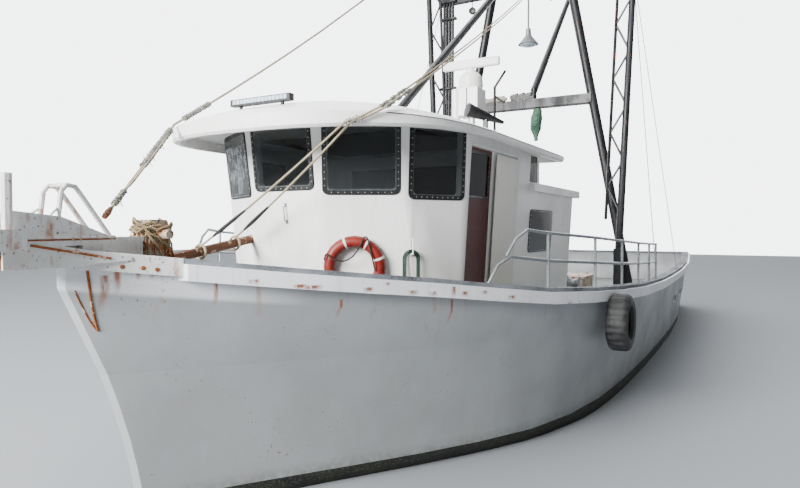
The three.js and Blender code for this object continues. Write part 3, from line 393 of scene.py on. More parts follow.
@dataclass(frozen=True)
class Finish:
    """What a surface is made of and how it was made.

    Gloss, metal and clear are roughness, metallic and transmission away from the first coat and
    under it.
    """

    name: str
    slot: str
    base: str
    coats: tuple[Coat, ...]
    reliefs: tuple[Relief, ...]
    gloss: Pair = (0.5, 0.7)
    metal: Pair = (0.0, 0.0)
    clear: Pair = (0.0, 0.0)
    ior: float = 1.5

    def material(self) -> bpy.types.Material:
        """Make the material once.

        Returns:
            The material.
        """
        known = bpy.data.materials.get(self.name)
        if known:
            return known
        made = bpy.data.materials.new(self.name)
        made.use_nodes = True
        tree = made.node_tree
        shader = tree.nodes["Principled BSDF"]
        place = add(tree, "TexCoord", out=3)
        wanted = [layer.where for layer in (*self.coats, *self.reliefs)]
        masks = {where: where.mask(tree, place) for where in dict.fromkeys(wanted)}
        colour: Any = to_linear(self.base)
        for coat in self.coats:
            share = add(tree, "Math", {0: masks[coat.where], 1: coat.share}, operation="MULTIPLY")
            plugs = {0: share, 6: colour, 7: to_linear(coat.colour)}
            colour = add(tree, "Mix", plugs, 2, data_type="RGBA")
        tree.links.new(colour, shader.inputs["Base Color"])
        pairs = {"Roughness": self.gloss, "Metallic": self.metal, "Transmission Weight": self.clear}
        for name, (bare, coated) in pairs.items():
            if bare == coated:
                shader.inputs[name].default_value = bare
                continue
            plugs = {"Value": masks[wanted[0]], "To Min": bare, "To Max": coated}
            tree.links.new(add(tree, "MapRange", plugs), shader.inputs[name])
        height: Any = 0.0
        for relief in self.reliefs:
            plugs = {0: masks[relief.where], 1: relief.depth_mm, 2: height}
            height = add(tree, "Math", plugs, operation="MULTIPLY_ADD")
        bump = add(tree, "Bump", {"Height": height, "Distance": 0.001, "Strength": 1.0})
        tree.links.new(bump, shader.inputs["Normal"])
        shader.inputs["IOR"].default_value = self.ior
        return made


# Rust weeps down the plates in narrow runs that start under the rail.
RUNS = (Mottle(85, 0.56, 0.74, (1, 1, 9), 2), Mottle(420, 0.5, 0.64, (1, 1, 3), 3))
RAIL_RUNS = Joined((*RUNS, UnderSheer(0.95, 0.2)))
# Plates sag a little between the frames, about half a metre apart.
PLATE_SAG = Mottle(520, 0.2, 0.8, detail=1)
# Brush marks are under a millimetre apart, drawn coarser so that they show.
BRUSHED = Mottle(9, 0.2, 0.8, (4, 4, 1), 2)
FRECKLES = Joined((Mottle(34, 0.64, 0.7, detail=4), Mottle(600, 0.5, 0.62, detail=2)))
CHALK = Mottle(900, 0.42, 0.68, detail=6)
GRIME = Mottle(70, 0.5, 0.85, (1, 1, 14), 3)
# Mottled patches of painted shade, laid deeper under the rail on the hull.
FLARE_SHADE_MOTTLE = Mottle(300, 0.35, 0.75, (1, 1, 2), 6)

# Alkyd enamel brushed on steel plate: soft gloss over faint ripples, chalky patches, dirt dragged
# down by rain, and rust weeping from the rail. It reads as painted plate, not as moulding. The grey
# base is painted shade: the white enamel as it reads on the flare, which faces down.
HULL_PAINT = Finish(
    "hull enamel, brushed, painted shade and light", "hull_white", "#979b9d",
    (
        Coat("#868a8c", 0.6, CHALK),
        Coat("#8f8d83", 0.3, GRIME),
        # Painted shade: darker mottling deeper under the rail, where the flare faces down.
        Coat("#8c887d", 0.35, Joined((FLARE_SHADE_MOTTLE, UnderSheer(0.5, 1.4)))),
        # Painted light: a lighter band on the upright strake just under the rail at the bow, which faces
        # the sky.
        Coat("#d3d6d8", 0.9, Joined((UnderSheer(0.37, 0.33), Level(9.3, 10.1, 0)))),
        Coat("#96531f", 0.7, RAIL_RUNS),
        Coat("#7a4018", 0.85, FRECKLES),
        Coat("#4d5140", 0.75, Joined((Mottle(60, 0.3, 0.6), Level(0.34, 0.12)))),
    ),
    (Relief(2.2, PLATE_SAG), Relief(0.06, BRUSHED), Relief(0.5, FRECKLES)),
    (0.34, 0.6),
)
# The same enamel on the rail's guard, cleaner and glossier, chipped to primer along its edges.
RAIL_PAINT = Finish(
    "rail enamel, brushed", "hull_white", "#ebebee",
    (
        Coat("#cfd2d6", 0.5, Mottle(500, 0.45, 0.7, (2, 1, 1), 6)),
        Coat("#87908f", 0.3, Mottle(60, 0.55, 0.8, (1, 1, 8), 3)),
        Coat("#2b2623", 0.9, Joined((Mottle(70, 0.6, 0.64, (3, 1, 1), 4), UnderSheer(0.19, 0.235)))),
        Coat("#9a5320", 0.85, Joined((Mottle(95, 0.6, 0.68, (2, 1, 1), 4), UnderSheer(0.15, 0.23)))),
    ),
    (Relief(1.6, PLATE_SAG), Relief(0.06, BRUSHED)),
    (0.3, 0.5),
)
BOW_CHIPS = Mottle(30, 0.63, 0.68, detail=5)
# Enamel on the bow gear, where chain and anchor knock it off: bare rusted spots and long runs.
BOW_PAINT = Finish(
    "bow gear enamel, brushed", "hull_white", "#dedfde",
    (
        Coat("#c0bdb3", 0.55, Mottle(240, 0.4, 0.66, detail=6)),
        Coat("#a25b24", 0.75, Joined((Mottle(60, 0.5, 0.66, (1, 1, 6), 3), Mottle(180, 0.48, 0.6)))),
        Coat("#6e3a18", 0.9, BOW_CHIPS),
    ),
    (Relief(0.8, PLATE_SAG), Relief(0.7, BOW_CHIPS)),
    (0.38, 0.65),
)
# Enamel sprayed on the house, washed by rain: the cleanest white aboard, with faint tea-brown runs.
HOUSE_PAINT = Finish(
    "house enamel, sprayed", "house_white", "#f6f4f1",
    (
        Coat("#e6e6e4", 0.6, CHALK),
        Coat("#b7b2a4", 0.2, GRIME),
        Coat("#9d6a3c", 0.35, Joined((Mottle(50, 0.6, 0.75, (1, 1, 9), 2), Mottle(500, 0.52, 0.66)))),
        Coat("#8a5a30", 0.6, Joined((Mottle(26, 0.66, 0.71, detail=4), Mottle(500, 0.5, 0.6)))),
    ),
    (Relief(1.5, PLATE_SAG), Relief(0.04, BRUSHED)),
    (0.34, 0.52),
)
BLISTERS = Mottle(38, 0.58, 0.66, detail=6)
# Enamel brushed over rust on deck gear: blistered, cream with dirt, more rust than paint.
RUSTY_PAINT = Finish(
    "deck gear enamel, brushed", "rusty_white", "#cfc7b6",
    (
        Coat("#8e8573", 0.6, Mottle(120, 0.42, 0.66, detail=6)),
        Coat("#a05a26", 0.85, Mottle(80, 0.47, 0.6, (1, 1, 2), 5)),
        Coat("#4f2d1a", 0.85, BLISTERS),
    ),
    (Relief(1.2, BLISTERS), Relief(0.5, Mottle(12, 0.3, 0.7))),
    (0.6, 0.85),
)
ROLLER_MARKS = Mottle(45, 0.5, 0.8)
SLIME = Mottle(160, 0.42, 0.62, (2, 2, 1))
# Rolled antifouling: dead flat black, gone brown-green with slime just under the waterline.
BOTTOM = Finish(
    "antifouling, rolled", "bottom_black", "#11110f",
    (
        Coat("#2e3323", 0.9, Joined((SLIME, Level(-0.9, -0.05)))),
        Coat("#3c2a20", 0.3, ROLLER_MARKS),
        Coat("#5a5c50", 0.5, Joined((Mottle(30, 0.5, 0.6), Level(0.03, 0.09)))),
    ),
    (Relief(1.6, SLIME), Relief(0.8, ROLLER_MARKS)),
    (0.62, 0.85),
)
GRAIN = Mottle(13, 0.42, 0.66, (45, 1, 1), 6)
# Painted timber left to weather: grey, with open grain along the boat and rubbed paint over it.
PLANK = Finish(
    "painted timber, weathered", "weathered_wood", "#5c6167",
    (
        Coat("#2c3032", 0.85, GRAIN),
        Coat("#8e949a", 0.65, Mottle(300, 0.4, 0.6, (4, 1, 1), 7)),
        Coat("#7b4a26", 0.4, Mottle(110, 0.62, 0.72, (3, 1, 1), 3)),
    ),
    (Relief(1.5, GRAIN),),
    (0.72, 0.88),
)
# Deck paint with sand thrown in it: matt, scuffed to a lighter grey where boots pass.
DECK = Finish(
    "deck paint, gritted", "deck_grey", "#858b8a",
    (
        Coat("#a9ada9", 0.9, Mottle(480, 0.42, 0.66, detail=8)),
        Coat("#80502c", 0.55, Mottle(130, 0.61, 0.72, detail=5)),
        Coat("#4b4e4a", 0.5, Mottle(260, 0.55, 0.72, detail=6)),
    ),
    # Real grit is about 1 mm, drawn coarser so that it shows.
    (Relief(1.0, Mottle(6, 0.3, 0.7, detail=2)),),
    (0.85, 0.92),
)
RIG_CHIPS = Mottle(55, 0.61, 0.68, (1, 1, 2.5), 6)
# Black enamel on mild steel pipe, brushed on thick: salt bloom greys it and chips show rust.
RIG_PAINT = Finish(
    "rig enamel, brushed", "rig_black", "#0e0f12",
    (
        Coat("#2f3237", 0.5, Mottle(300, 0.45, 0.75, (1, 1, 2), 5)),
        Coat("#55331f", 0.85, RIG_CHIPS),
    ),
    (Relief(-1.2, RIG_CHIPS), Relief(0.3, Mottle(20, 0.3, 0.7))),
    (0.4, 0.7),
)
# Hot-dip galvanised steel: dull grey spangle with brown tea stains at the welds.
ZINC = Finish(
    "steel, hot-dip galvanised", "galvanised", "#aeb2b3",
    (
        Coat("#7a5334", 0.5, Mottle(120, 0.56, 0.7, detail=5)),
        Coat("#84898b", 0.8, Cells(22, 0.1, 0.6)),
    ),
    (Relief(0.4, Mottle(14, 0.3, 0.7)),),
    (0.46, 0.85),
    (0.78, 0.2),
)
# Bright zinc-plated bolts: nearly white where the light catches them, with a trace of rust.
BRIGHT_BOLT = Finish(
    "bolt steel, zinc plated", "galvanised", "#dfe2e4",
    (Coat("#8a6a4a", 0.5, Mottle(60, 0.6, 0.7, detail=3)),),
    (Relief(0.3, Mottle(5, 0.3, 0.7, detail=1)),),
    (0.3, 0.7),
    (0.6, 0.2),
)
SCALE = Mottle(16, 0.38, 0.62, detail=8, roughness=0.7)
# Mild steel rusted through its paint: flaky orange-brown scale with darker pits.
RUST = Finish(
    "mild steel, rusted", "rusty_white", "#a35c26",
    (
        Coat("#54301b", 0.9, SCALE),
        Coat("#cdbfa8", 0.6, Mottle(90, 0.6, 0.64, detail=3)),
    ),
    (Relief(1.6, SCALE),),
    (0.85, 0.95),
)
# Dark rust with traces of black paint, as on an old brace that chain has rubbed.
DARK_RUST = replace(RUST, name="mild steel, rusted dark", base="#6b4228")
# Float glass in a grey tint: mirror smooth and dark from outside, the far windows dim through it,
# with a thin film of dried salt.
GLASS = Finish(
    "float glass, tinted", "pane_black", "#a6acae",
    (Coat("#b4babc", 0.2, Mottle(240, 0.5, 0.85, (1, 1, 2), 7)),),
    (Relief(0.6, Mottle(700, 0.3, 0.7, detail=1)),),
    (0.015, 0.08),
    clear=(0.992, 0.975),
    ior=1.45,
)
# The same glass made opaque and near black: painted shade of the unlit cabin behind it.
CABIN_SHADE_GLASS = replace(
    GLASS,
    name="float glass, painted cabin shade",
    base="#050606",
    coats=(Coat("#2e3234", 0.4, Mottle(240, 0.5, 0.85, (1, 1, 2), 7)),),
    clear=(0.0, 0.0),
)
# A painted reflection: mottled patches in a band across the middle height of the pane.
PAINTED_REFLECTION = Joined((Mottle(70, 0.46, 0.6, (1, 1, 1.6), 6), Level(3.36, 3.5), Level(4.0, 3.86)))
# The same glass on the starboard bow face, with a painted reflection across it as a mottled grey film,
# rougher and less clear there.
REFLECTION_GLASS = replace(
    GLASS,
    name="float glass, painted reflection",
    coats=(Coat("#858c92", 0.85, PAINTED_REFLECTION),),
    gloss=(0.03, 0.35),
    clear=(0.98, 0.55),
)
SCRATCHES = Mottle(16, 0.66, 0.72, (1, 1, 30), 2)
# Oxide-red enamel rolled on a steel door: dull, and scratched pale by sliding gear.
DOOR_PAINT = Finish(
    "door enamel, rolled", "door_maroon", "#54211b",
    (
        Coat("#6a3a32", 0.5, Mottle(300, 0.4, 0.7, detail=5)),
        Coat("#94786f", 0.5, SCRATCHES),
        Coat("#94786f", 0.5, Mottle(16, 0.68, 0.74, (30, 1, 1), 2)),
        Coat("#3a2420", 0.6, Mottle(60, 0.6, 0.7, (1, 1, 4), 5)),
    ),
    (Relief(-0.5, SCRATCHES), Relief(0.5, PLATE_SAG)),
    (0.55, 0.7),
)
# Vinyl-faced panel glued inside the cabin, matt charcoal: painted shade, so that the cabin reads as dark.
CABIN_SHADE_PANEL = Finish(
    "vinyl panel, painted cabin shade", "tyre_black", "#141413",
    (Coat("#2b2a28", 0.6, Mottle(90, 0.45, 0.7)),),
    (Relief(0.3, Mottle(8, 0.3, 0.7)),),
    (0.7, 0.85),
)
# Cream enamel on the panel beside the door: yellowed a little, with hand marks.
CREAM_PAINT = replace(HOUSE_PAINT, name="panel enamel, brushed", base="#e3dccd")
# Rotomoulded polyethylene: an even soft sheen, sun-faded on top, with fine pimples.
RING_SHELL = Finish(
    "polyethylene, rotomoulded", "ring_orange", "#6f1006",
    (
        Coat("#8c2c19", 0.5, Mottle(150, 0.4, 0.72, detail=5)),
        Coat("#6d5a50", 0.35, Mottle(40, 0.6, 0.8, detail=4)),
    ),
    (Relief(0.4, Mottle(6, 0.3, 0.7, detail=1)),),
    (0.42, 0.6),
)
# Calendered reflective band stuck round the ring: flat pale grey with a fine embossed grid.
RING_BAND = Finish(
    "reflective band, calendered", "ring_orange", "#e3dcd6",
    (Coat("#a9a09a", 0.6, Mottle(50, 0.5, 0.7, detail=5)),),
    (Relief(0.2, Cells(6, 0.05, 0.2, True)),),
    (0.25, 0.5),
)
# Vulcanised rubber from a steel mould: matt black, greyed by salt, with scuffs.
RUBBER = Finish(
    "rubber, vulcanised", "tyre_black", "#131313",
    (
        Coat("#3f4041", 0.65, Mottle(120, 0.42, 0.75, detail=6)),
        Coat("#6d675c", 0.35, Mottle(40, 0.6, 0.72, detail=5)),
    ),
    (Relief(0.6, Mottle(10, 0.3, 0.7)),),
    (0.6, 0.85),
    ior=1.52,
)
# Extruded rubber gasket: clean matt black with a soft sheen along its round.
GASKET = replace(
    RUBBER,
    name="window gasket, extruded",
    base="#050505",
    coats=(Coat("#1d1e1f", 0.6, Mottle(120, 0.42, 0.75, detail=6)),),
    gloss=(0.38, 0.55),
)
# Sand-cast manganese bronze: brown-gold, rough from the mould, green in the corners.
BRONZE = Finish(
    "manganese bronze, sand-cast", "bronze", "#8f6d3c",
    (Coat("#4f6a55", 0.65, Mottle(90, 0.52, 0.7, detail=6)),),
    (Relief(0.5, Mottle(7, 0.3, 0.7)),),
    (0.38, 0.8),
    (0.9, 0.2),
)
# Brass couplings, turned and dulled by salt air.
BRASS = replace(BRONZE, name="brass, turned", slot="hose_green", base="#a98f4e")


def laid(name: str, slot: str, strand: str, lay_and_patches: str, pitch_mm: float, count: int = 3) -> Finish:
    """Make the finish of a laid line: strands twist round it, darker in the lay between them.

    Args:
        name: The line's real material and make.
        slot: Its record slot.
        strand: The colour on the strands' crowns.
        lay_and_patches: The darker colour in the lay between strands, also laid in soft patches.
        pitch_mm: The length of one turn of a strand.
        count: How many strands it has.

    Returns:
        The finish.
    """
    twist = Strands(pitch_mm, count)
    worn = Mottle(130, 0.4, 0.7, (1, 1, 1), 6)
    coats = (Coat(strand, 1.0, twist), Coat(lay_and_patches, 0.55, worn), Coat("#4c443a", 0.4, Mottle(40, 0.6, 0.7)))
    return Finish(name, slot, lay_and_patches, coats, (Relief(2.4, twist),), (0.85, 0.75))


WIRE = laid("steel wire rope, laid", "wire", "#a29b8c", "#5c5142", 55, 6)
STAY_ROPE = laid("polyester rope, laid", "wire", "#cfc6ae", "#7d715c", 90)
GREY_ROPE = laid("polyester rope, weathered grey", "wire", "#a3a39c", "#5f5d57", 90)
HEMP = laid("polypropylene rope, laid", "wire", "#c9bd9f", "#74664c", 70)
TAN_ROPE = laid("manila rope, laid", "wire", "#c3ae87", "#6f5b3e", 70)
DARK_ROPE = laid("tarred rope, laid", "rig_black", "#34322f", "#0f0f0f", 60)
GREEN_ROPE = laid("green polyester rope, laid", "wire", "#4f8268", "#2a4437", 60)
# Vinyl hose drawn over a textile braid: an even dark green with a soft sheen and a faint lay.
HOSE_SKIN = Finish(
    "vinyl hose, extruded", "hose_green", "#0b2618",
    (
        Coat("#1f4a35", 0.6, Mottle(60, 0.42, 0.7, detail=5)),
        Coat("#7b8676", 0.3, Mottle(25, 0.62, 0.74, detail=4)),
    ),
    (Relief(0.3, Strands(30, 8)),),
    (0.4, 0.6),
)
TWINE = Cells(26, 0.2, 0.06, True, (1, 1, 2.2))
# Knotted nylon net gathered in a hank: crossing twine with near-black gaps, painted shade of the
# hank's inside. Its 45 mm mesh closes up to about 26 mm where it hangs in folds.
NET = Finish(
    "nylon net, knotted", "wire", "#14201a",
    (
        Coat("#466e57", 1.0, TWINE),
        Coat("#86a48c", 0.4, Mottle(220, 0.4, 0.7)),
    ),
    (Relief(5.0, TWINE),),
    (0.9, 0.9),
)
WEAVE = Joined((Ribs(5, "X"), Ribs(5, "Z")))
# Plain-woven cotton canvas: matt, sun-bleached on its folds. Real threads are about 1 mm apart,
# drawn coarser so that they show.
CANVAS = Finish(
    "cotton canvas, woven", "wire", "#b9b3a2",
    (
        Coat("#6f6959", 0.75, Mottle(180, 0.42, 0.7, detail=6)),
        Coat("#8d887a", 0.5, WEAVE),
    ),
    (Relief(1.2, WEAVE),),
    (0.9, 0.95),
)
LENS_RIBS = Ribs(14, "Y", low=0.2, high=0.6)
# Clear polycarbonate pressed with fine ribs: pale blue-white and shiny, with dark joints.
LENS = Finish(
    "polycarbonate lens, pressed", "pane_black", "#8ba2b0",
    (Coat("#dcebf5", 1.0, LENS_RIBS),),
    (Relief(2.0, LENS_RIBS),),
    (0.12, 0.12),
    ior=1.58,
)


# Meshes


def circle(count: int) -> list[Pair]:
    """Space points evenly round a circle of radius one.

    Args:
        count: How many points.

    Returns:
        The two places of each point.
    """
    turns = [math.tau * k / count for k in range(count)]
    return [(math.cos(a), math.sin(a)) for a in turns]


class Meshwork:
    """Collects the forms of one piece in a single mesh."""

    LINE = "line"
    # A turned form that would end in a point ends in a flat of this radius.
    POINT = 0.0005

    def __init__(self) -> None:
        """Start an empty mesh with a map of the turn round a line and the length along it."""
        self.mesh = bmesh.new()
        self.line = self.mesh.loops.layers.uv.new(self.LINE)

    def skin(
        self, rings: list[list[Vector]], closed: bool = False, lengths: Optional[list] = None
    ) -> None:
        """Skin a run of rings of points.

        Args:
            rings: The rings, all with the same number of points.
            closed: Whether the last ring joins the first; if not, both ends are capped.
            lengths: The length in metres at each ring, for the line map.
        """
        rows = [[self.mesh.verts.new(point) for point in ring] for ring in rings]
        count = len(rows[0])
        marks = lengths or [0.0] * len(rows)
        last = len(rows) if closed else len(rows) - 1
        for r in range(last):
            near, far = rows[r], rows[(r + 1) % len(rows)]
            for i in range(count):
                j = (i + 1) % count
                face = self.mesh.faces.new((near[i], near[j], far[j], far[i]))
                face.smooth = True
                ends = (marks[r], marks[(r + 1) % len(rows)] or marks[r])
                shares = ((i, 0), (i + 1, 0), (i + 1, 1), (i, 1))
                for loop, (turn, end) in zip(face.loops, shares):
                    loop[self.line].uv = (turn / count, ends[end])
        if not closed:
            self.mesh.faces.new(list(reversed(rows[0])))
            self.mesh.faces.new(rows[-1])

    def tube(
        self,
        points: Sequence[Point],
        radius: Union[float, Sequence[float]],
        sides: int = 8,
        closed: bool = False,
    ) -> None:
        """Sweep a round section along points.

        Args:
            points: The centre line.
            radius: One radius, or one for each point.
            sides: Points round the section.
            closed: Whether the line closes on itself.
        """
        line = [Vector(point) for point in points]
        radii = [radius] * len(line) if isinstance(radius, (int, float)) else list(radius)
        tangents = []
        for i, here in enumerate(line):
            back = line[i - 1] if closed or i else here
            ahead = line[(i + 1) % len(line)] if closed or i + 1 < len(line) else here
            tangents.append((ahead - back).normalized())
        across = tangents[0].orthogonal().normalized()
        rings, lengths, gone = [], [], 0.0
        for i, (here, along) in enumerate(zip(line, tangents)):
            across = (across - along * across.dot(along)).normalized()
            other = along.cross(across)
            rings.append([here + (across * c + other * s) * radii[i] for c, s in circle(sides)])
            gone += (here - line[i - 1]).length if i else 0.0
            lengths.append(gone)
        self.skin(rings, closed, lengths)

    def turned(
        self, profile: Sequence[Pair], centre: Point, axis: Point, sides: int = 20
    ) -> None:
        """Turn a profile about an axis.

        Args:
            profile: Radius and height pairs.
            centre: The point that heights count from.
            axis: The way the axis runs.
            sides: Points round it.
        """
        up = Vector(axis).normalized()
        across = up.orthogonal().normalized()
        other = up.cross(across)
        spokes = [across * c + other * s for c, s in circle(sides)]
        rings = []
        for radius, height in profile:
            middle = Vector(centre) + up * height
            rings.append([middle + spoke * max(radius, self.POINT) for spoke in spokes])
        self.skin(rings)

    def panel(
        self,
        centre: Point,
        size: Point,
        turn: Optional[Matrix] = None,
        chamfer: float = 0.004,
        segments: int = 1,
    ) -> None:
        """Add a block with chamfered edges.

        Args:
            centre: Its middle.
            size: Its three sides.
            turn: A rotation about its middle.
            chamfer: The width of its chamfers.
            segments: Steps in each chamfer.
        """
        place = Matrix.Translation(Vector(centre)) @ (turn.to_4x4() if turn else Matrix())
        scale = Matrix.Diagonal((*size, 1))
        made = bmesh.ops.create_cube(self.mesh, size=1, matrix=place @ scale)
        corners = set(made["verts"])
        edges = [e for e in self.mesh.edges if e.verts[0] in corners and e.verts[1] in corners]
        bmesh.ops.bevel(
            self.mesh, geom=edges, offset=chamfer, segments=segments, affect="EDGES", profile=0.5
        )

    def heads(
        self, places: Sequence[tuple[Point, Point]], radius: float, height: float, sides: int = 6
    ) -> None:
        """Add bolt heads.

        Args:
            places: The seat of each and the way that it points.
            radius: The radius of a head.
            height: Its height.
            sides: Its flats.
        """
        edge, crown = height * 0.7, radius * 0.72
        profile = [(radius, 0), (radius, edge), (crown, height), (0.0, height)]
        for seat, way in places:
            self.turned(profile, seat, way, sides)

    def piece(
        self,
        name: str,
        finish: Finish,
        body: Body = Body.HULL,
        replaces: Sequence[str] = (),
        crease: float = 40,
    ) -> Thing:
        """Finish the mesh as one named piece that rides on a body.

        Args:
            name: The piece's name.
            finish: Its finish.
            body: The body that it rides on.
            replaces: CAD nodes that it stands for.
            crease: Edges sharper than this, in degrees, stay sharp.

        Returns:
            The new object.
        """
        bmesh.ops.recalc_face_normals(self.mesh, faces=self.mesh.faces)
        data = bpy.data.meshes.new(name)
        self.mesh.to_mesh(data)
        self.mesh.free()
        data.shade_smooth()
        data.set_sharp_from_angle(angle=math.radians(crease))
        made = bpy.data.objects.new(name, data)
        bpy.context.scene.collection.objects.link(made)
        data.materials.append(finish.material())
        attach(made, body.value)
        if replaces:
            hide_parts(*replaces)
        log.info("piece %s: %d faces in %s", name, len(data.polygons), finish.name)
        return made


def dress_nodes(finish: Finish, *names: str, crease: float = 32) -> None:
    """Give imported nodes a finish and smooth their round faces.

    Args:
        finish: The finish.
        names: The nodes.
        crease: Edges sharper than this, in degrees, stay sharp.
    """
    for name in names:
        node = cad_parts[name]
        node.data.materials.clear()
        node.data.materials.append(finish.material())
        node.data.polygons.foreach_set("use_smooth", [True] * len(node.data.polygons))
        normals = node.data.attributes.get("custom_normal")
        if normals:
            node.data.attributes.remove(normals)
        weld = node.modifiers.new("weld", "WELD")
        weld.merge_threshold = 1e-4
        split = node.modifiers.new("crease", "EDGE_SPLIT")
        split.split_angle = math.radians(crease)
        log.info("node %s in %s", name, finish.name)


def smooth_line(points: Sequence[Point], steps: int = 6) -> list[Vector]:
    """Run a smooth curve through points.

    Args:
        points: The points, in order.
        steps: Steps between each two.

    Returns:
        The points of the curve.
    """
    at = [Vector(point) for point in points]
    at = [at[0] * 2 - at[1], *at, at[-1] * 2 - at[-2]]
    line = []
    for a, b, c, d in zip(at, at[1:], at[2:], at[3:]):
        for k in range(steps):
            t = k / steps
            square = (a * 2 - b * 5 + c * 4 - d) * t * t
            cube = (b * 3 - a - c * 3 + d) * t**3
            line.append(0.5 * (b * 2 + (c - a) * t + square + cube))
    return [*line, at[-2]]


def helix(
    start: Point, end: Point, radius: float, turns: float, per_turn: int = 10, wobble: float = 0.0
) -> list[Vector]:
    """Wind a helix round a straight line.

    Args:
        start: Where the line starts.
        end: Where it ends.
        radius: The radius of the turns.
        turns: How many there are.
        per_turn: Points in each.
        wobble: How far the radius strays, from a seeded draw.

    Returns:
        The points of the helix.
    """
    first, last = Vector(start), Vector(end)
    along = (last - first).normalized()
    across = along.orthogonal().normalized()
    other = along.cross(across)
    draw = random.Random(round(turns * 100))
    count = max(4, int(turns * per_turn))
    line = []
    for k in range(count + 1):
        a = math.tau * turns * k / count
        r = radius + draw.uniform(-wobble, wobble)
        line.append(first.lerp(last, k / count) + (across * math.cos(a) + other * math.sin(a)) * r)
    return line


def sag_line(start: Point, end: Point, drop: float, steps: int = 10) -> list[Vector]:
    """Run a line between two points that sags.

    Args:
        start: Where it starts.
        end: Where it ends.
        drop: How far its middle hangs under the straight line.
        steps: Steps along it.

    Returns:
        The points of the line.
    """
    first, last = Vector(start), Vector(end)
    line = []
    for k in range(steps + 1):
        t = k / steps
        line.append(first.lerp(last, t) - Vector((0, 0, 4 * drop * t * (1 - t))))
    return line


class Shell:
    """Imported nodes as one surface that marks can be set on."""

    def __init__(self, *names: str) -> None:
        """Gather the surface of some nodes.

        Args:
            names: The nodes.
        """
        points: list[Vector] = []
        faces: list[list[int]] = []
        for name in names:
            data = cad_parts[name].data
            start = len(points)
            points += [vertex.co.copy() for vertex in data.vertices]
            faces += [[start + i for i in face.vertices] for face in data.polygons]
        self.surface = BVHTree.FromPolygons(points, faces)

    def touch(self, start: Point, way: Point) -> Mark:
        """Find where a line first meets the surface.

        Args:
            start: Where the line starts.
            way: The way it runs.

        Returns:
            The spot and the way that the surface faces there.
        """
        spot, normal, _, _ = self.surface.ray_cast(Vector(start), Vector(way).normalized())
        if spot is None:
            raise ValueError(f"nothing from {tuple(start)} along {tuple(way)}")
        return spot, -normal if normal.dot(Vector(way)) > 0 else normal

    def spot(self, start: Point, way: Point) -> Vector:
        """Return the spot where a line first meets the surface."""
        return self.touch(start, way)[0]

    def under(self, x: float, y: float, z: float = 8.0) -> Vector:
        """Return the first spot of the surface straight under a place."""
        return self.spot((x, y, z), (0, 0, -1))


@dataclass(frozen=True)
class Sight:
    """The line of sight from the camera, which places marks on the boat's own surface."""

    at: Triple = (14.2, 5.1, 2.82)
    heading: Pair = (-0.870, -0.492)
    focal_px: float = 628
    horizon_px: float = 228

    def ray(self, across: float, down: float) -> Vector:
        """Find the way through a picture point.

        Args:
            across: Picture points from the left.
            down: Picture points from the top.

        Returns:
            The way, one metre deep.
        """
        side = (across - IMAGE_WIDTH / 2) / self.focal_px
        ahead, aside = self.heading
        drop = (down - self.horizon_px) / self.focal_px
        return Vector((ahead + aside * side, aside - ahead * side, -drop))

    def mark(self, across: float, down: float, shell: Shell) -> Mark:
        """Find the spot of a surface that a picture point shows.

        Args:
            across: Picture points from the left.
            down: Picture points from the top.
            shell: The surface.

        Returns:
            The spot and the way that the surface faces there.
        """
        return shell.touch(self.at, self.ray(across, down))


SIGHT = Sight()


# Hull


@dataclass
class RailTable:
    """The sheer: distance aft of the stem head, half-breadth and height of the rail."""

    stem_x: float = 11.0
    rows: tuple[Triple, ...] = (
        (0.0, 0.060, 2.650), (0.6, 0.536, 2.565), (1.5, 1.247, 2.440), (3.0, 2.191, 2.260),
        (4.5, 2.849, 2.075), (6.0, 3.239, 1.985), (8.0, 3.400, 1.880), (12.0, 3.400, 1.780),
        (17.0, 3.300, 1.815), (22.0, 2.920, 1.950),
    )

    def at(self, aft: float) -> Triple:
        """Find the rail at a distance aft of the stem head.

        Args:
            aft: The distance.

        Returns:
            X, half-breadth and height there.
        """
        for (a0, y0, z0), (a1, y1, z1) in zip(self.rows, self.rows[1:]):
            if aft <= a1:
                t = (aft - a0) / (a1 - a0)
                return self.stem_x - aft, y0 + (y1 - y0) * t, z0 + (z1 - z0) * t
        return self.stem_x - aft, self.rows[-1][1], self.rows[-1][2]


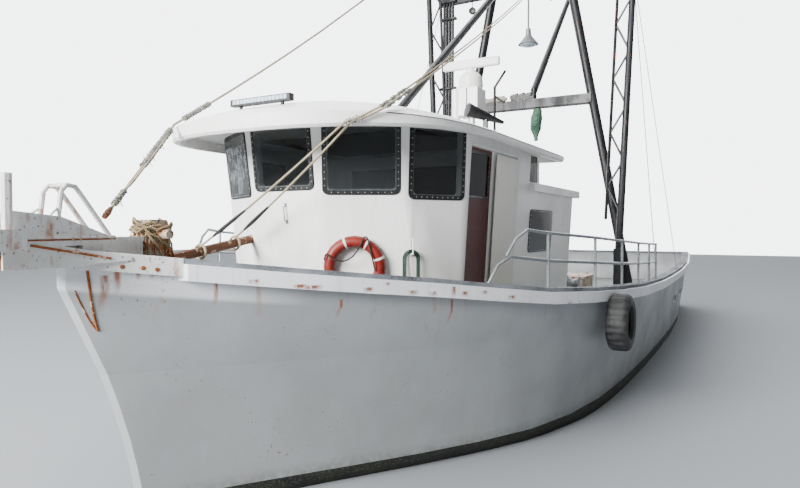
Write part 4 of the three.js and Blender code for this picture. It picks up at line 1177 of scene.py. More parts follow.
@dataclass
class Hull:
    """The shell, decks and rails with their bolts, stains, port rims and anodes."""

    rail: RailTable = field(default_factory=RailTable)
    # Picture places of the rusted bolts under the bow plate.
    stem_bolts: tuple[Pair, ...] = ((122, 267), (143, 268), (157, 269.6))
    # Picture place, half width and length of each weep down the shell.
    weeps: tuple[Four, ...] = (
        (122, 268, 0.030, 0.26), (143, 270, 0.022, 0.10), (157, 271, 0.022, 0.09),
        (104, 276, 0.035, 0.34), (81, 254, 0.030, 0.16), (226, 284, 0.020, 0.22),
        (341, 300, 0.020, 0.20), (452, 300, 0.022, 0.30),
    )
    # The same for the chips along the guard's lower edge.
    chips: tuple[Four, ...] = (
        (254, 280, 0.05, 0.05), (300, 285, 0.07, 0.05), (312, 286, 0.10, 0.05),
        (369, 288, 0.06, 0.05), (388, 283, 0.03, 0.04), (414, 291, 0.06, 0.05),
        (433, 292, 0.05, 0.05), (454, 287, 0.04, 0.12), (465, 292, 0.05, 0.05),
        (485, 291, 0.05, 0.05), (512, 296, 0.07, 0.05),
    )
    # A V of welded doubler bar on the flare: picture places of its two rusted arms.
    doubler: tuple[tuple[Pair, ...], ...] = (
        ((87, 271), (89, 288), (91, 305), (94, 320), (97, 331)),
        ((74, 291), (81, 306), (88, 320), (96, 331)),
    )
    port_x: tuple[float, ...] = (-3.4, -5.4, -7.4, -9.2)
    port_half: float = 0.35
    port_z: Pair = (0.91, 1.08)
    rim_radius: float = 0.012
    rim_sunk: float = 0.002
    doubler_radii: Pair = (0.013, 0.008)
    # The bolts' heads, by radius and height, and how far they are sunk in the plate.
    cap_head: Pair = (0.017, 0.006)
    stem_head: Pair = (0.020, 0.011)
    head_sunk: float = 0.001
    cap_bolts_from: float = 0.9
    cap_bolt_step: float = 0.48
    cap_bolt_count: int = 44
    skeg_anode: Triple = (0.32, 0.05, 0.13)
    skeg_anode_x: Pair = (-6.6, -7.6)
    skeg_anode_yz: Pair = (0.12, -1.65)
    rudder_anode: Triple = (0.26, 0.04, 0.12)
    rudder_anode_at: Triple = (-10.2, 0.053, -1.35)

    def build(self) -> None:
        """Dress the shell and add its small parts."""
        shell = Shell("hull_topsides", "bulwark", "guard_rail", "stem_plate")
        hull_paint = self.stained(HULL_PAINT, "#8a4519", 0.9, self.weeps, shell)
        rail_paint = self.stained(RAIL_PAINT, "#80451a", 0.95, self.chips, shell)
        dress_nodes(hull_paint, "hull_topsides", "bulwark", crease=26)
        dress_nodes(rail_paint, "guard_rail", crease=26)
        dress_nodes(BOW_PAINT, "stem_plate", crease=26)
        dress_nodes(BOTTOM, "hull_bottom", "keel", "rudder", crease=40)
        dress_nodes(PLANK, "cap_rail", crease=30)
        dress_nodes(DECK, "foredeck", "working_deck")
        dress_nodes(BRONZE, "propeller", crease=40)
        self.cap_bolts()
        self.plate_bolts(shell)
        self.doubler_bars(shell)
        self.port_rims()
        self.anodes()

    def stained(
        self,
        finish: Finish,
        colour: str,
        share: float,
        places: Sequence[Four],
        shell: Shell,
    ) -> Finish:
        """Add streaks to a finish at given picture places.

        Args:
            finish: The finish.
            colour: The streaks' colour.
            share: How well they cover.
            places: Picture place, half width and length of each.
            shell: The surface that they run down.

        Returns:
            The stained finish.
        """
        found = []
        for across, down, half, length in places:
            spot, _ = SIGHT.mark(across, down, shell)
            found.append((round(spot.x, 3), round(spot.z, 3), half, length))
        return replace(finish, coats=(*finish.coats, Coat(colour, share, Weeps(tuple(found)))))

    def cap_bolts(self) -> None:
        """Fasten the cap rail with sunk bolts along both sides."""
        cap = Shell("cap_rail")
        work = Meshwork()
        heads = []
        for side in (1, -1):
            for k in range(self.cap_bolt_count):
                x, y, z = self.rail.at(self.cap_bolts_from + self.cap_bolt_step * k)
                seat = cap.under(x, side * (y - 0.02), z + 0.5)
                heads.append((seat - Vector((0, 0, self.head_sunk)), (0, 0, 1)))
        work.heads(heads, *self.cap_head, 8)
        work.piece("cap_rail_bolts", DARK_RUST)

    def plate_bolts(self, shell: Shell) -> None:
        """Bolt the bow plate's lower edge to the stem, the same on both sides.

        Args:
            shell: The surface that carries them.
        """
        work = Meshwork()
        heads = []
        for across, down in self.stem_bolts:
            spot, way = SIGHT.mark(across, down, shell)
            heads.append((spot - way * self.head_sunk, way))
            other = Vector((way.x, -way.y, way.z))
            heads.append((Vector((spot.x, -spot.y, spot.z)) - other * self.head_sunk, other))
        work.heads(heads, *self.stem_head, 8)
        work.piece("bow_plate_bolts", RUST)

    def doubler_bars(self, shell: Shell) -> None:
        """Weld a V of rusted half-round bar on the flare, the same on both sides.

        Args:
            shell: The surface that carries it.
        """
        work = Meshwork()
        for arm, radius in zip(self.doubler, self.doubler_radii):
            marks = [SIGHT.mark(across, down, shell) for across, down in arm]
            line = smooth_line([spot + way * radius * 0.2 for spot, way in marks], 4)
            work.tube(line, radius, 6)
            work.tube([Vector((p.x, -p.y, p.z)) for p in line], radius, 6)
        work.piece("stem_doubler_bars", RUST)

    def port_rims(self) -> None:
        """Weld half-round bar round the freeing ports."""
        bulwark = Shell("bulwark", "hull_topsides")
        work = Meshwork()
        low, high = self.port_z
        middle = (low + high) / 2
        reach = self.port_half + 0.02
        for side in (1, -1):
            for x in self.port_x:
                ring = []
                for dx, z in ((-1, low), (1, low), (1, high), (-1, high)):
                    start = (x + dx * reach, side * 5, z + (z - middle) * 0.25)
                    spot, way = bulwark.touch(start, (0, -side, 0))
                    ring.append(spot - way * self.rim_sunk)
                work.tube(ring, self.rim_radius, 6, closed=True)
        work.piece("freeing_port_rims", HULL_PAINT)

    def anodes(self) -> None:
        """Bolt zinc anodes to the rudder and to both sides of the skeg."""
        skeg, rudder = Meshwork(), Meshwork()
        y, z = self.skeg_anode_yz
        for side in (1, -1):
            for x in self.skeg_anode_x:
                skeg.panel((x, side * y, z), self.skeg_anode, chamfer=0.015)
        skeg.piece("skeg_anodes", ZINC)
        x, y, z = self.rudder_anode_at
        for side in (1, -1):
            rudder.panel((x, side * y, z), self.rudder_anode, chamfer=0.012)
        rudder.piece("rudder_anodes", ZINC, Body.RUDDER)


# Bow


@dataclass
class Bow:
    """The roller platform, its rails and the stay that runs up over the roof's brow."""

    platform_half: float = 0.17
    # Both ends of the bars along the platform: X, then the heights of the bare and painted ones.
    bar_x: Pair = (11.42, 10.6)
    bare_z: Pair = (2.722, 2.725)
    painted_z: Pair = (2.742, 2.745)
    brace: tuple[Triple, ...] = ((11.10, 0.125, 2.985), (11.175, 0.155, 2.928))
    # Picture places of the rusted bar that slopes down over the bow plate.
    rust_bar: tuple[Pair, ...] = (
        (30, 245.5), (45, 248), (60, 250.3), (75, 252.5), (90, 255), (102, 257), (111, 258.5),
    )
    foot: Triple = (10.56, 0.0, 2.95)
    brow: Triple = (8.85, -1.09, 4.085)
    head: Triple = (-1.6, 0.0, 12.75)
    sag: float = 0.5
    rope_radius: float = 0.016
    # Shares of the way from the brow to the masthead at which the stay has points.
    near_step: float = 0.012
    far_shares: tuple[float, ...] = (0.13, 0.18, 0.25, 0.35, 0.5, 0.65, 0.8, 0.92, 1.0)
    # Points of the stay's second part: a share of the way to the brow, and how far aside it lies.
    second_part: tuple[Pair, ...] = (
        (0.22, 0.1), (0.3, 0.8), (0.5, 1.0), (0.7, 1.0), (0.86, 0.7), (0.94, 0.1),
    )

    def build(self) -> None:
        """Dress the platform and add bars, braces and the stay."""
        dress_nodes(BOW_PAINT, "bow_platform", "pulpit_rail_port", "pulpit_rail_starboard")
        dress_nodes(RUST, "bow_rollers")
        self.edge_bars()
        self.foot_braces()
        self.stay()

    def edge_bars(self) -> None:
        """Run rusted bar along both cheeks and down over the bow plate, and a painted bar on top."""
        bare, painted = Meshwork(), Meshwork()
        plates = Shell("bow_platform", "stem_plate", "guard_rail")
        marks = [SIGHT.mark(across, down, plates) for across, down in self.rust_bar]
        line = [spot + way * 0.004 for spot, way in marks]
        for side in (1, -1):
            y = side * (self.platform_half - 0.004)
            bare.tube([Vector((p.x, side * p.y, p.z)) for p in line], 0.011, 6)
            bare.tube([(x, y, z) for x, z in zip(self.bar_x, self.bare_z)], 0.009, 6)
            painted.tube([(x, y, z) for x, z in zip(self.bar_x, self.painted_z)], 0.012, 8)
        bare.piece("platform_edge_bars", RUST)
        painted.piece("platform_top_bars", BOW_PAINT)

    def foot_braces(self) -> None:
        """Brace the feet of the pulpit rails."""
        work = Meshwork()
        for side in (1, -1):
            work.tube([(x, side * y, z) for x, y, z in self.brace], 0.010, 8)
        work.piece("pulpit_foot_braces", BOW_PAINT)

    def rise(self, share: float) -> Vector:
        """Return the stay's place at a share of the way from the brow to the masthead."""
        low, high = Vector(self.brow), Vector(self.head)
        return low.lerp(high, share) - Vector((0, 0, 4 * self.sag * share * (1 - share)))

    def stay(self) -> None:
        """Lead the laid stay from its shackle over the brow to the masthead, with its whippings."""
        foot, brow = Vector(self.foot), Vector(self.brow)
        shares = [*(self.near_step * k for k in range(1, 9)), *self.far_shares]
        upper = [brow, *(self.rise(share) for share in shares)]
        lower = [foot.lerp(brow, k / 8) for k in range(9)]
        work = Meshwork()
        work.tube([*lower[:-1], *upper], self.rope_radius, 8)
        work.piece("forestay_rope", STAY_ROPE, replaces=["forestay"])
        # A second part of the rope lies alongside, seized to the first at both ends.
        second = Meshwork()
        aside = Vector((0.02, 0.052, -0.012))
        line = [foot.lerp(brow, share) + aside * away for share, away in self.second_part]
        second.tube(smooth_line(line, 4), 0.012, 8)
        second.piece("forestay_second_part", STAY_ROPE)
        self.whippings(foot, brow)
        shackle = Meshwork()
        way = (brow - foot).normalized()
        shackle.tube([foot - way * 0.06, foot + way * 0.02, foot + way * 0.10], [0.026, 0.03, 0.021], 10)
        shackle.tube([foot + Vector((0, -0.045, 0)), foot + Vector((0, 0.045, 0))], 0.011, 8)
        shackle.piece("forestay_shackle", DARK_RUST)

    def whippings(self, foot: Vector, brow: Vector) -> None:
        """Wind ragged chafing turns round the stay, with loose ends.

        Args:
            foot: The lower end of the stay.
            brow: Where it crosses the brow.
        """
        way = (brow - foot).normalized()
        turns, ends = Meshwork(), Meshwork()
        draw = random.Random(7)
        upper = (self.rise(self.near_step), self.rise(0.05))
        spans = (
            (foot.lerp(brow, 0.08), foot.lerp(brow, 0.20), 0.023, 14),
            (foot.lerp(brow, 0.46), foot.lerp(brow, 0.92), 0.030, 46),
            (*upper, 0.028, 20),
        )
        for start, end, radius, count in spans:
            turns.tube(helix(start, end, radius, count, 8, 0.005), 0.009, 5)
            for k in range(count // 3):
                root = start.lerp(end, draw.random())
                out = Vector((draw.uniform(-1, 1), draw.uniform(-1, 1), draw.uniform(-1.2, 0.3)))
                out = (out - way * out.dot(way) * 0.6).normalized()
                tip = root + out * draw.uniform(0.05, 0.11)
                line = smooth_line([root, root.lerp(tip, 0.5) + Vector((0, 0, 0.012)), tip], 3)
                ends.tube(line, 0.0035, 5)
        turns.piece("forestay_whippings", GREY_ROPE)
        ends.piece("forestay_frays", GREY_ROPE)


@dataclass
class Foredeck:
    """The windlass with its heap of line and chain, and the lines that run up over the roof."""

    drum: Triple = (9.70, 0.0, 2.25)
    drum_radius: float = 0.17
    line_radius: float = 0.02
    heap_at: Triple = (10.08, 0, 2.80)
    bights: int = 16
    bight_points: int = 20
    chain_links: int = 11
    # The ends of the windlass brace, and where the first roof line crosses the roof's edge.
    brace: tuple[Triple, ...] = ((9.64, -0.374, 2.47), (7.84, -0.74, 2.682))
    lip: tuple[Triple, ...] = ((8.735, 1.34, 3.925), (8.60, 1.49, 4.01), (8.47, 1.625, 4.112))
    # Where both roof lines start on the brace, as a share of it, and how far aside each one runs.
    starts: tuple[Pair, ...] = ((0.356, 0.0), (0.745, 0.045))
    head: Triple = (-1.49, 0.03, 8.90)

    def build(self) -> None:
        """Dress the windlass and run its lines."""
        dress_nodes(RUSTY_PAINT, "windlass_frame")
        dress_nodes(RUST, "windlass_drum")
        dress_nodes(DARK_RUST, "windlass_brace")
        self.wound_line()
        self.heap()
        self.roof_lines()

    def wound_line(self) -> None:
        """Wind two layers of line on the drum."""
        x, y, z = self.drum
        work = Meshwork()
        for layer, reach in enumerate((0.255, 0.235)):
            radius = self.drum_radius + self.line_radius * (0.9 + 1.75 * layer)
            turns = reach * 2 / (2.05 * self.line_radius)
            line = helix((x, y - reach, z), (x, y + reach, z), radius, turns, 16, 0.002)
            work.tube(line, self.line_radius, 6)
        work.piece("windlass_line", TAN_ROPE, Body.WINDLASS)

    def heap(self) -> None:
        """Heap slack line over the windlass post and hang a bight from it."""
        ropes = Meshwork()
        draw = random.Random(11)
        middle = Vector(self.heap_at)
        for _ in range(self.bights):
            reach = draw.uniform(0.07, 0.21)
            lean, tip = draw.uniform(0, math.tau), draw.uniform(-0.5, 0.5)
            hang = draw.uniform(0.12, 0.46)
            loop = []
            for step in range(self.bight_points):
                a = math.tau * step / self.bight_points
                stray = [draw.uniform(-0.010, 0.010) for _ in range(3)]
                drop = -hang * max(0.0, math.sin(a + lean)) ** 1.5 + 0.06 * draw.random()
                spot = (reach * math.cos(a), reach * 0.85 * math.sin(a), drop + tip * 0.1 * math.cos(a))
                loop.append(middle + Vector(spot) + Vector(stray))
            ropes.tube(loop, draw.uniform(0.010, 0.016), 6, closed=True)
        ropes.piece("windlass_heaped_line", TAN_ROPE)
        chain = Meshwork()
        for k in range(self.chain_links):
            a = math.radians(-70 + 26 * k)
            seat = middle + Vector((0.20 * math.cos(a), 0.17 * math.sin(a), -0.07 - 0.02 * k))
            turn = Matrix.Rotation(a + (math.pi / 2 if k % 2 else 0), 3, "Z")
            lean = 0.014 * (k % 2)
            spots = [Vector((lean * c, 0.018 * c, 0.036 * s)) for c, s in circle(12)]
            chain.tube([seat + turn @ spot for spot in spots], 0.007, 6, closed=True)
        chain.piece("windlass_chain", RUST)

    def roof_lines(self) -> None:
        """Run two chafed lines from the brace over the roof's edge to the crosstree."""
        head = Vector(self.head)
        work, sleeves, wraps = Meshwork(), Meshwork(), Meshwork()
        fore, aft = (Vector(end) for end in self.brace)
        for share, shift in self.starts:
            eye = fore.lerp(aft, share) + Vector((0, 0, 0.06))
            lip = [Vector((x - shift, y + shift, z)) for x, y, z in self.lip]
            low = sag_line(eye, lip[0], 0.03, 6)
            rise = sag_line(lip[-1], head + Vector((0, 2 * shift, 0)), 0.10, 12)
            work.tube([*low, *lip[1:-1], *rise], 0.0125, 8)
            loop = [eye + Vector((0, 0.085 * c, 0.085 * s - 0.06)) for c, s in circle(14)]
            work.tube(loop, 0.016, 6, closed=True)
            covered = [low[0].lerp(low[1], 0.6), low[1], low[1].lerp(low[2], 0.5), low[2]]
            sleeves.tube(covered, [0.015, 0.024, 0.022, 0.014], 10)
            for start, end, turns in ((0.0, 0.25, 7), (0.38, 0.5, 4), (0.62, 0.9, 6)):
                ends = (rise[0].lerp(rise[1], start), rise[0].lerp(rise[1], end))
                wraps.tube(helix(*ends, 0.017, turns, 8, 0.006), 0.007, 5)
            wraps.tube(helix(lip[0], lip[0].lerp(lip[1], 0.7), 0.021, 4, 8, 0.006), 0.007, 5)
        work.piece("roof_lines", HEMP)
        sleeves.piece("roof_line_sleeves", RUBBER)
        wraps.piece("roof_line_chafing", GREY_ROPE)


# Wheelhouse


@dataclass(frozen=True)
class Face:
    """A leaning face of the wheelhouse.

    It has the angle of its normal, its reach at the sill, its lean, and how far its pane reaches
    below the sill line.
    """

    name: str
    angle: float
    reach: float
    lean: float
    drop: float = 0.0
    sill: float = 3.28

    def frame(self) -> Matrix:
        """Find the place of the face.

        Returns:
            A matrix whose u runs along the face, v up it from the sill and w out of it.
        """
        a, lean = math.radians(self.angle), math.radians(self.lean)
        across = Vector((-math.sin(a), math.cos(a), 0))
        up = Vector((math.cos(a) * math.sin(lean), math.sin(a) * math.sin(lean), math.cos(lean)))
        place = Matrix((across, up, across.cross(up))).transposed().to_4x4()
        place.translation = Vector((math.cos(a) * self.reach, math.sin(a) * self.reach, self.sill))
        return place

    def corner(self, other: "Face") -> Vector:
        """Find where this face meets another.

        Args:
            other: The other face.

        Returns:
            The corner at the sill.
        """
        a, b = math.radians(self.angle), math.radians(other.angle)
        det = math.cos(a) * math.sin(b) - math.sin(a) * math.cos(b)
        x = (self.reach * math.sin(b) - math.sin(a) * other.reach) / det
        y = (math.cos(a) * other.reach - self.reach * math.cos(b)) / det
        return Vector((x, y, self.sill))


@dataclass
class Wheelhouse:
    """The faceted wheelhouse with its roof, bolted panes, sliding doors and wall fittings."""

    faces: tuple[Face, ...] = (
        Face("port_side", 90, 1.890, 3.5),
        Face("port_quarter", 60, 5.022, 3, 0.110),
        Face("port_bow", 30, 7.275, 6.5, 0.060),
        Face("front", 0, 8.100, 7),
        Face("starboard_bow", -30, 7.275, 6.5, 0.060),
        Face("starboard_quarter", -60, 5.022, 3, 0.110),
        Face("starboard_side", -90, 1.890, 3.5),
    )
    pane_margin: float = 0.055
    pane_v: Pair = (0.005, 0.803)
    pane_round: float = 0.07
    bolt_step: float = 0.078
    bolt_inset: float = 0.024
    bolt_radius: float = 0.0055
    bolt_height: float = 0.006
    bolt_out: float = 0.013
    border: float = 0.048
    cabin_at: Triple = (6.0, 0, 2.95)
    lining_thick: float = 0.012
    # The roof in plan: where its brow starts to curve, its nose, its half-breadth and its roundness.
    brow_from: float = 6.5
    brow_nose: float = 9.05
    brow_half: float = 2.16
    brow_power: float = 2.4
    roof_aft: float = 3.17
    glass_x: Pair = (5.94, 6.63)
    glass_v: Pair = (-0.03, 0.53)
    panel_x: Pair = (4.84, 5.79)
    panel_v: Pair = (-1.60, 0.58)
    drip_end: float = 6.72
    door_rim: float = 0.034
    # How far inside the face a door's pane, gasket and bolts lie.
    pane_in: float = 0.075
    gasket_in: float = 0.0602
    bolts_in: float = 0.0594
    seam_z: float = 4.062
    hose_radii: tuple[float, ...] = (0.0695, 0.087, 0.1045)
    hose_straight: float = 0.38
    hose_diameter: float = 0.0165
    # How far below the top of the plain hose its turns have their centre.
    hose_crown: float = 0.113

    def build(self) -> None:
        """Dress the house and add its fittings."""
        dress_nodes(HOUSE_PAINT, "wheelhouse_walls", "wheelhouse_roof")
        # The starboard bow pane carries a painted reflection.
        dress_nodes(REFLECTION_GLASS, "window_starboard_bow")
        clear = ("front", "port_bow", "port_quarter", "starboard_quarter")
        dress_nodes(GLASS, *(f"window_{name}" for name in clear))
        dress_nodes(DOOR_PAINT, "door_port", "door_starboard")
        self.lining()
        self.pane_bolts()
        self.pane_borders()
        self.pane_gaskets()
        self.fascia_seam()
        self.grab_handle()
        self.side_panels()
        self.door(self.faces[0], Body.DOOR_PORT, "port")
        self.door(self.faces[6], Body.DOOR_STARBOARD, "starboard")
        self.hose()

    def face(self, name: str) -> Face:
        """Return the face of that name."""
        return next(face for face in self.faces if face.name == name)

    def pane_span(self, i: int) -> Pair:
        """Find the pane of a face.

        Args:
            i: The face's number.

        Returns:
            Where the pane starts and ends along the face.
        """
        face = self.faces[i]
        back = face.frame().inverted()
        corners = (face.corner(self.faces[i + 1]), self.faces[i - 1].corner(face))
        ends = [(back @ corner).x for corner in corners]
        return min(ends) + self.pane_margin, max(ends) - self.pane_margin

    def lining(self) -> None:
        """Line the cabin below its windows, overhead and at its after bulkhead with near-black panels
        that paint its shade.
        """
        walls = Shell("wheelhouse_walls", "wheelhouse_roof", "deckhouse_walls", "foredeck")
        middle = Vector(self.cabin_at)
        thick = self.lining_thick
        work = Meshwork()
        for i in range(1, 6):
            place = self.faces[i].frame()
            turn = place.to_3x3()
            inner = walls.spot(middle, turn @ Vector((0, 0, 1)))
            deep = (place.inverted() @ inner).z
            start, end = self.pane_span(i)
            seat = place @ Vector(((start + end) / 2, -0.62, deep - 0.008))
            work.panel(seat, (end - start, 1.16, thick), turn, 0.002)
        over = walls.spot(middle, (0, 0, 1))
        work.panel(over + Vector((0, 0, -0.008)), (2.2, 2.6, thick), chamfer=0.002)
        aft = walls.spot(middle, (-1, 0, 0))
        work.panel(aft + Vector((0.009, 0, -0.02)), (thick, 2.9, 1.9), chamfer=0.002)
        work.piece("cabin_shade_panels", CABIN_SHADE_PANEL)

    def pane_bolts(self) -> None:
        """Bolt each pane down at its sides and foot with small bright heads."""
        work = Meshwork()
        for i in range(1, 6):
            place = self.faces[i].frame()
            low, high = self.pane_v[0] - self.faces[i].drop, self.pane_v[1]
            rim = self.rim(*self.pane_span(i), low, high, top=False)
            way = place.to_3x3() @ Vector((0, 0, 1))
            seats = [(place @ Vector((u, v, self.bolt_out)), way) for u, v in rim]
            work.heads(seats, self.bolt_radius, self.bolt_height, 8)
        work.piece("window_bolts", BRIGHT_BOLT)

    def rim(
        self, u0: float, u1: float, v0: float, v1: float, top: bool = True
    ) -> list[Pair]:
        """Space bolts evenly round a pane, inside its edge.

        Args:
            u0: Where the pane starts.
            u1: Where it ends.
            v0: Its foot.
            v1: Its top.
            top: Whether its top edge is bolted too.

        Returns:
            The bolts' places.
        """
        u0, u1 = u0 + self.bolt_inset, u1 - self.bolt_inset
        v0, v1 = v0 + self.bolt_inset, v1 - self.bolt_inset
        wide = max(2, round((u1 - u0) / self.bolt_step))
        high = max(2, round((v1 - v0) / self.bolt_step))
        levels = (v0, v1) if top else (v0,)
        spots = [(u0 + (u1 - u0) * k / wide, v) for k in range(1, wide) for v in levels]
        spots += [(u, v0 + (v1 - v0) * k / high) for k in range(1, high) for u in (u0, u1)]
        return spots

    def outline(self, i: int, inset: float, out: float) -> list[Vector]:
        """Follow the rounded outline of a pane.

        Args:
            i: The face's number.
            inset: How far inside the pane's edge it runs.
            out: How far out of the face it lies.

        Returns:
            The points round the pane.
        """
        place = self.faces[i].frame()
        u0, u1 = self.pane_span(i)
        v0, v1 = self.pane_v[0] - self.faces[i].drop, self.pane_v[1]
        ring = []
        for u, v, first in ((u1, v1, 0), (u0, v1, 90), (u0, v0, 180), (u1, v0, 270)):
            cu = u + (-self.pane_round if u == u1 else self.pane_round)
            cv = v + (-self.pane_round if v == v1 else self.pane_round)
            for step in range(6):
                a = math.radians(first + 18 * step)
                reach = self.pane_round - inset
                ring.append(place @ Vector((cu + reach * math.cos(a), cv + reach * math.sin(a), out)))
        return ring

    def pane_borders(self) -> None:
        """Print a black border round each pane, under its bolts."""
        work = Meshwork()
        for i in range(1, 6):
            edges = ((0.002, 0.0124), (0.002, 0.0134), (self.border, 0.0134), (self.border, 0.0124))
            loops = [self.outline(i, inset, out) for inset, out in edges]
            work.skin([list(points) for points in zip(*loops)], closed=True)
        work.piece("window_borders", GASKET)

    def pane_gaskets(self) -> None:
        """Bed each pane in a bead of black sealant."""
        work = Meshwork()
        for i in range(1, 6):
            work.tube(self.outline(i, -0.004, 0.002), 0.005, 6, closed=True)
        work.piece("window_sealant", GASKET)

    def roof_point(self, degrees: float, inset: float, z: float) -> Vector:
        """Find a point of the roof's rounded brow.

        Args:
            degrees: The angle from the centre line.
            inset: How far inside the edge it is.
            z: Its height.

        Returns:
            The point.
        """
        a = math.radians(degrees)
        power = 2 / self.brow_power
        x = self.brow_from + (self.brow_nose - self.brow_from - inset) * abs(math.cos(a)) ** power
        y = (self.brow_half - inset) * abs(math.sin(a)) ** power * (1 if degrees >= 0 else -1)
        return Vector((x, y, z))

    def fascia_seam(self) -> None:
        """Run a bead of sealant along the top of the roof's fascia on both sides."""
        work = Meshwork()
        for side in (1, -1):
            line = [Vector((self.roof_aft, side * (self.brow_half + 0.001), self.seam_z))]
            line += [self.roof_point(side * d, -0.001, self.seam_z) for d in (90, 78, 66, 54, 46)]
            work.tube(line, 0.005, 6)
        work.piece("roof_fascia_seam", GASKET)

    def grab_handle(self) -> None:
        """Weld a small upright handle on the front of the house."""
        work = Meshwork()
        place = self.face("front").frame()
        line = [(0.0, -0.19, 0.0), (0.0, -0.19, 0.045), (0.0, -0.37, 0.045), (0.0, -0.37, 0.0)]
        work.tube([place @ Vector(p) for p in line], 0.008, 8)
        turn = place.to_3x3()
        for v in (-0.175, -0.385):
            work.panel(place @ Vector((0, v, 0.004)), (0.04, 0.05, 0.008), turn, 0.002)
        work.piece("house_grab_handle", ZINC)

    def side_panels(self) -> None:
        """Screw a cream panel to the side aft of each door, under a drip bar."""
        panels, bars = Meshwork(), Meshwork()
        x0, x1 = self.panel_x
        v0, v1 = self.panel_v
        for face in (self.faces[0], self.faces[6]):
            place, turn = face.frame(), face.frame().to_3x3()
            way = -1 if face.angle > 0 else 1
            middle = Vector((way * (x0 + x1) / 2, (v0 + v1) / 2, 0.0042))
            panels.panel(place @ middle, (x1 - x0, v1 - v0, 0.008), turn, 0.003)
            over = Vector((way * (x0 + self.drip_end) / 2, v1 + 0.045, 0.014))
            bars.panel(place @ over, (self.drip_end - x0, 0.022, 0.028), turn, 0.006)
            edge = Vector((way * (x1 + 0.012), (v0 + v1) / 2, 0.006))
            bars.panel(place @ edge, (0.020, v1 - v0, 0.014), turn, 0.004)
        panels.piece("house_side_panels", CREAM_PAINT)
        bars.piece("house_drip_bars", HOUSE_PAINT)

    def door(self, face: Face, body: Body, side: str) -> None:
        """Glaze a sliding door and bolt its pane in a gasket.

        Args:
            face: The side face that the door slides in.
            body: The door's body.
            side: "port" or "starboard".
        """
        place, turn = face.frame(), face.frame().to_3x3()
        way = -1 if face.angle > 0 else 1
        x0, x1 = self.glass_x
        v0, v1 = self.glass_v
        middle = place @ Vector((way * (x0 + x1) / 2, (v0 + v1) / 2, -self.pane_in))
        pane = Meshwork()
        pane.panel(middle, (x1 - x0, v1 - v0, 0.006), turn, 0.001)
        # The door's pane is opaque black, painted shade of the cabin behind it.
        pane.piece(f"door_{side}_pane", CABIN_SHADE_GLASS, body)
        gasket, bolts = Meshwork(), Meshwork()
        rim = self.door_rim
        edges = (
            ((x0 + x1) / 2, v0 - rim / 2, x1 - x0 + 2 * rim, rim),
            ((x0 + x1) / 2, v1 + rim / 2, x1 - x0 + 2 * rim, rim),
            (x0 - rim / 2, (v0 + v1) / 2, rim, v1 - v0),
            (x1 + rim / 2, (v0 + v1) / 2, rim, v1 - v0),
        )
        for x, v, wide, high in edges:
            seat = place @ Vector((way * x, v, -self.gasket_in))
            gasket.panel(seat, (wide, high, 0.0018), turn, 0.0006)
        gasket.piece(f"door_{side}_gasket", GASKET, body)
        spots = [(x0 - rim / 2, v0 + (v1 - v0) * k / 8) for k in range(9)]
        spots += [(x0 + (x1 - x0) * k / 9, v0 - rim / 2) for k in range(1, 9)]
        out = turn @ Vector((0, 0, 1))
        seats = [(place @ Vector((way * x, v, -self.bolts_in)), out) for x, v in spots]
        bolts.heads(seats, 0.0065, 0.0012, 8)
        bolts.piece(f"door_{side}_bolts", BRIGHT_BOLT, body)

    def hose(self) -> None:
        """Hang the green hose as a hank of flat turns on its wall hook, with a coupling at each end."""
        low, high = (Vector(corner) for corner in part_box("hose"))
        along = Vector((-math.sqrt(0.5), math.sqrt(0.5), 0))
        middle = Vector(((low.x + high.x) / 2, (low.y + high.y) / 2, high.z - self.hose_crown))
        drop = self.hose_straight
        flat: list[Pair] = [(-self.hose_radii[0], -drop * k / 4) for k in (3, 2, 1)]
        for i, radius in enumerate(self.hose_radii):
            arc = [math.pi - math.pi * k / 12 for k in range(13)]
            flat += [(radius * math.cos(a), radius * math.sin(a)) for a in arc]
            if i + 1 < len(self.hose_radii):
                wide = (radius + self.hose_radii[i + 1]) / 2
                shift = (radius - self.hose_radii[i + 1]) / 2
                flat += [(radius, -drop * k / 3) for k in (1, 2)]
                arc = [-math.pi * k / 12 for k in range(13)]
                flat += [(shift + wide * math.cos(a), -drop + wide * math.sin(a)) for a in arc]
                flat += [(-self.hose_radii[i + 1], -drop * k / 3) for k in (2, 1)]
        flat += [(self.hose_radii[-1], -drop * k / 4) for k in (1, 2, 3)]
        line = [middle + along * u + Vector((0, 0, v)) for u, v in flat]
        work = Meshwork()
        work.tube(line, self.hose_diameter / 2, 10)
        hose = work.piece("hose_hank", HOSE_SKIN, replaces=["hose"])
        ends = Meshwork()
        for tip, inside in ((line[0], line[1]), (line[-1], line[-2])):
            way = (tip - inside).normalized()
            profile = [(0.0, -0.012), (0.0084, -0.012), (0.0085, 0.008), (0.0078, 0.012)]
            profile += [(0.0085, 0.016), (0.0085, 0.03), (0.005, 0.034), (0.0, 0.034)]
            ends.turned(profile, tip, way, 12)
        couplings = ends.piece("hose_couplings", BRASS)


# Aft houses


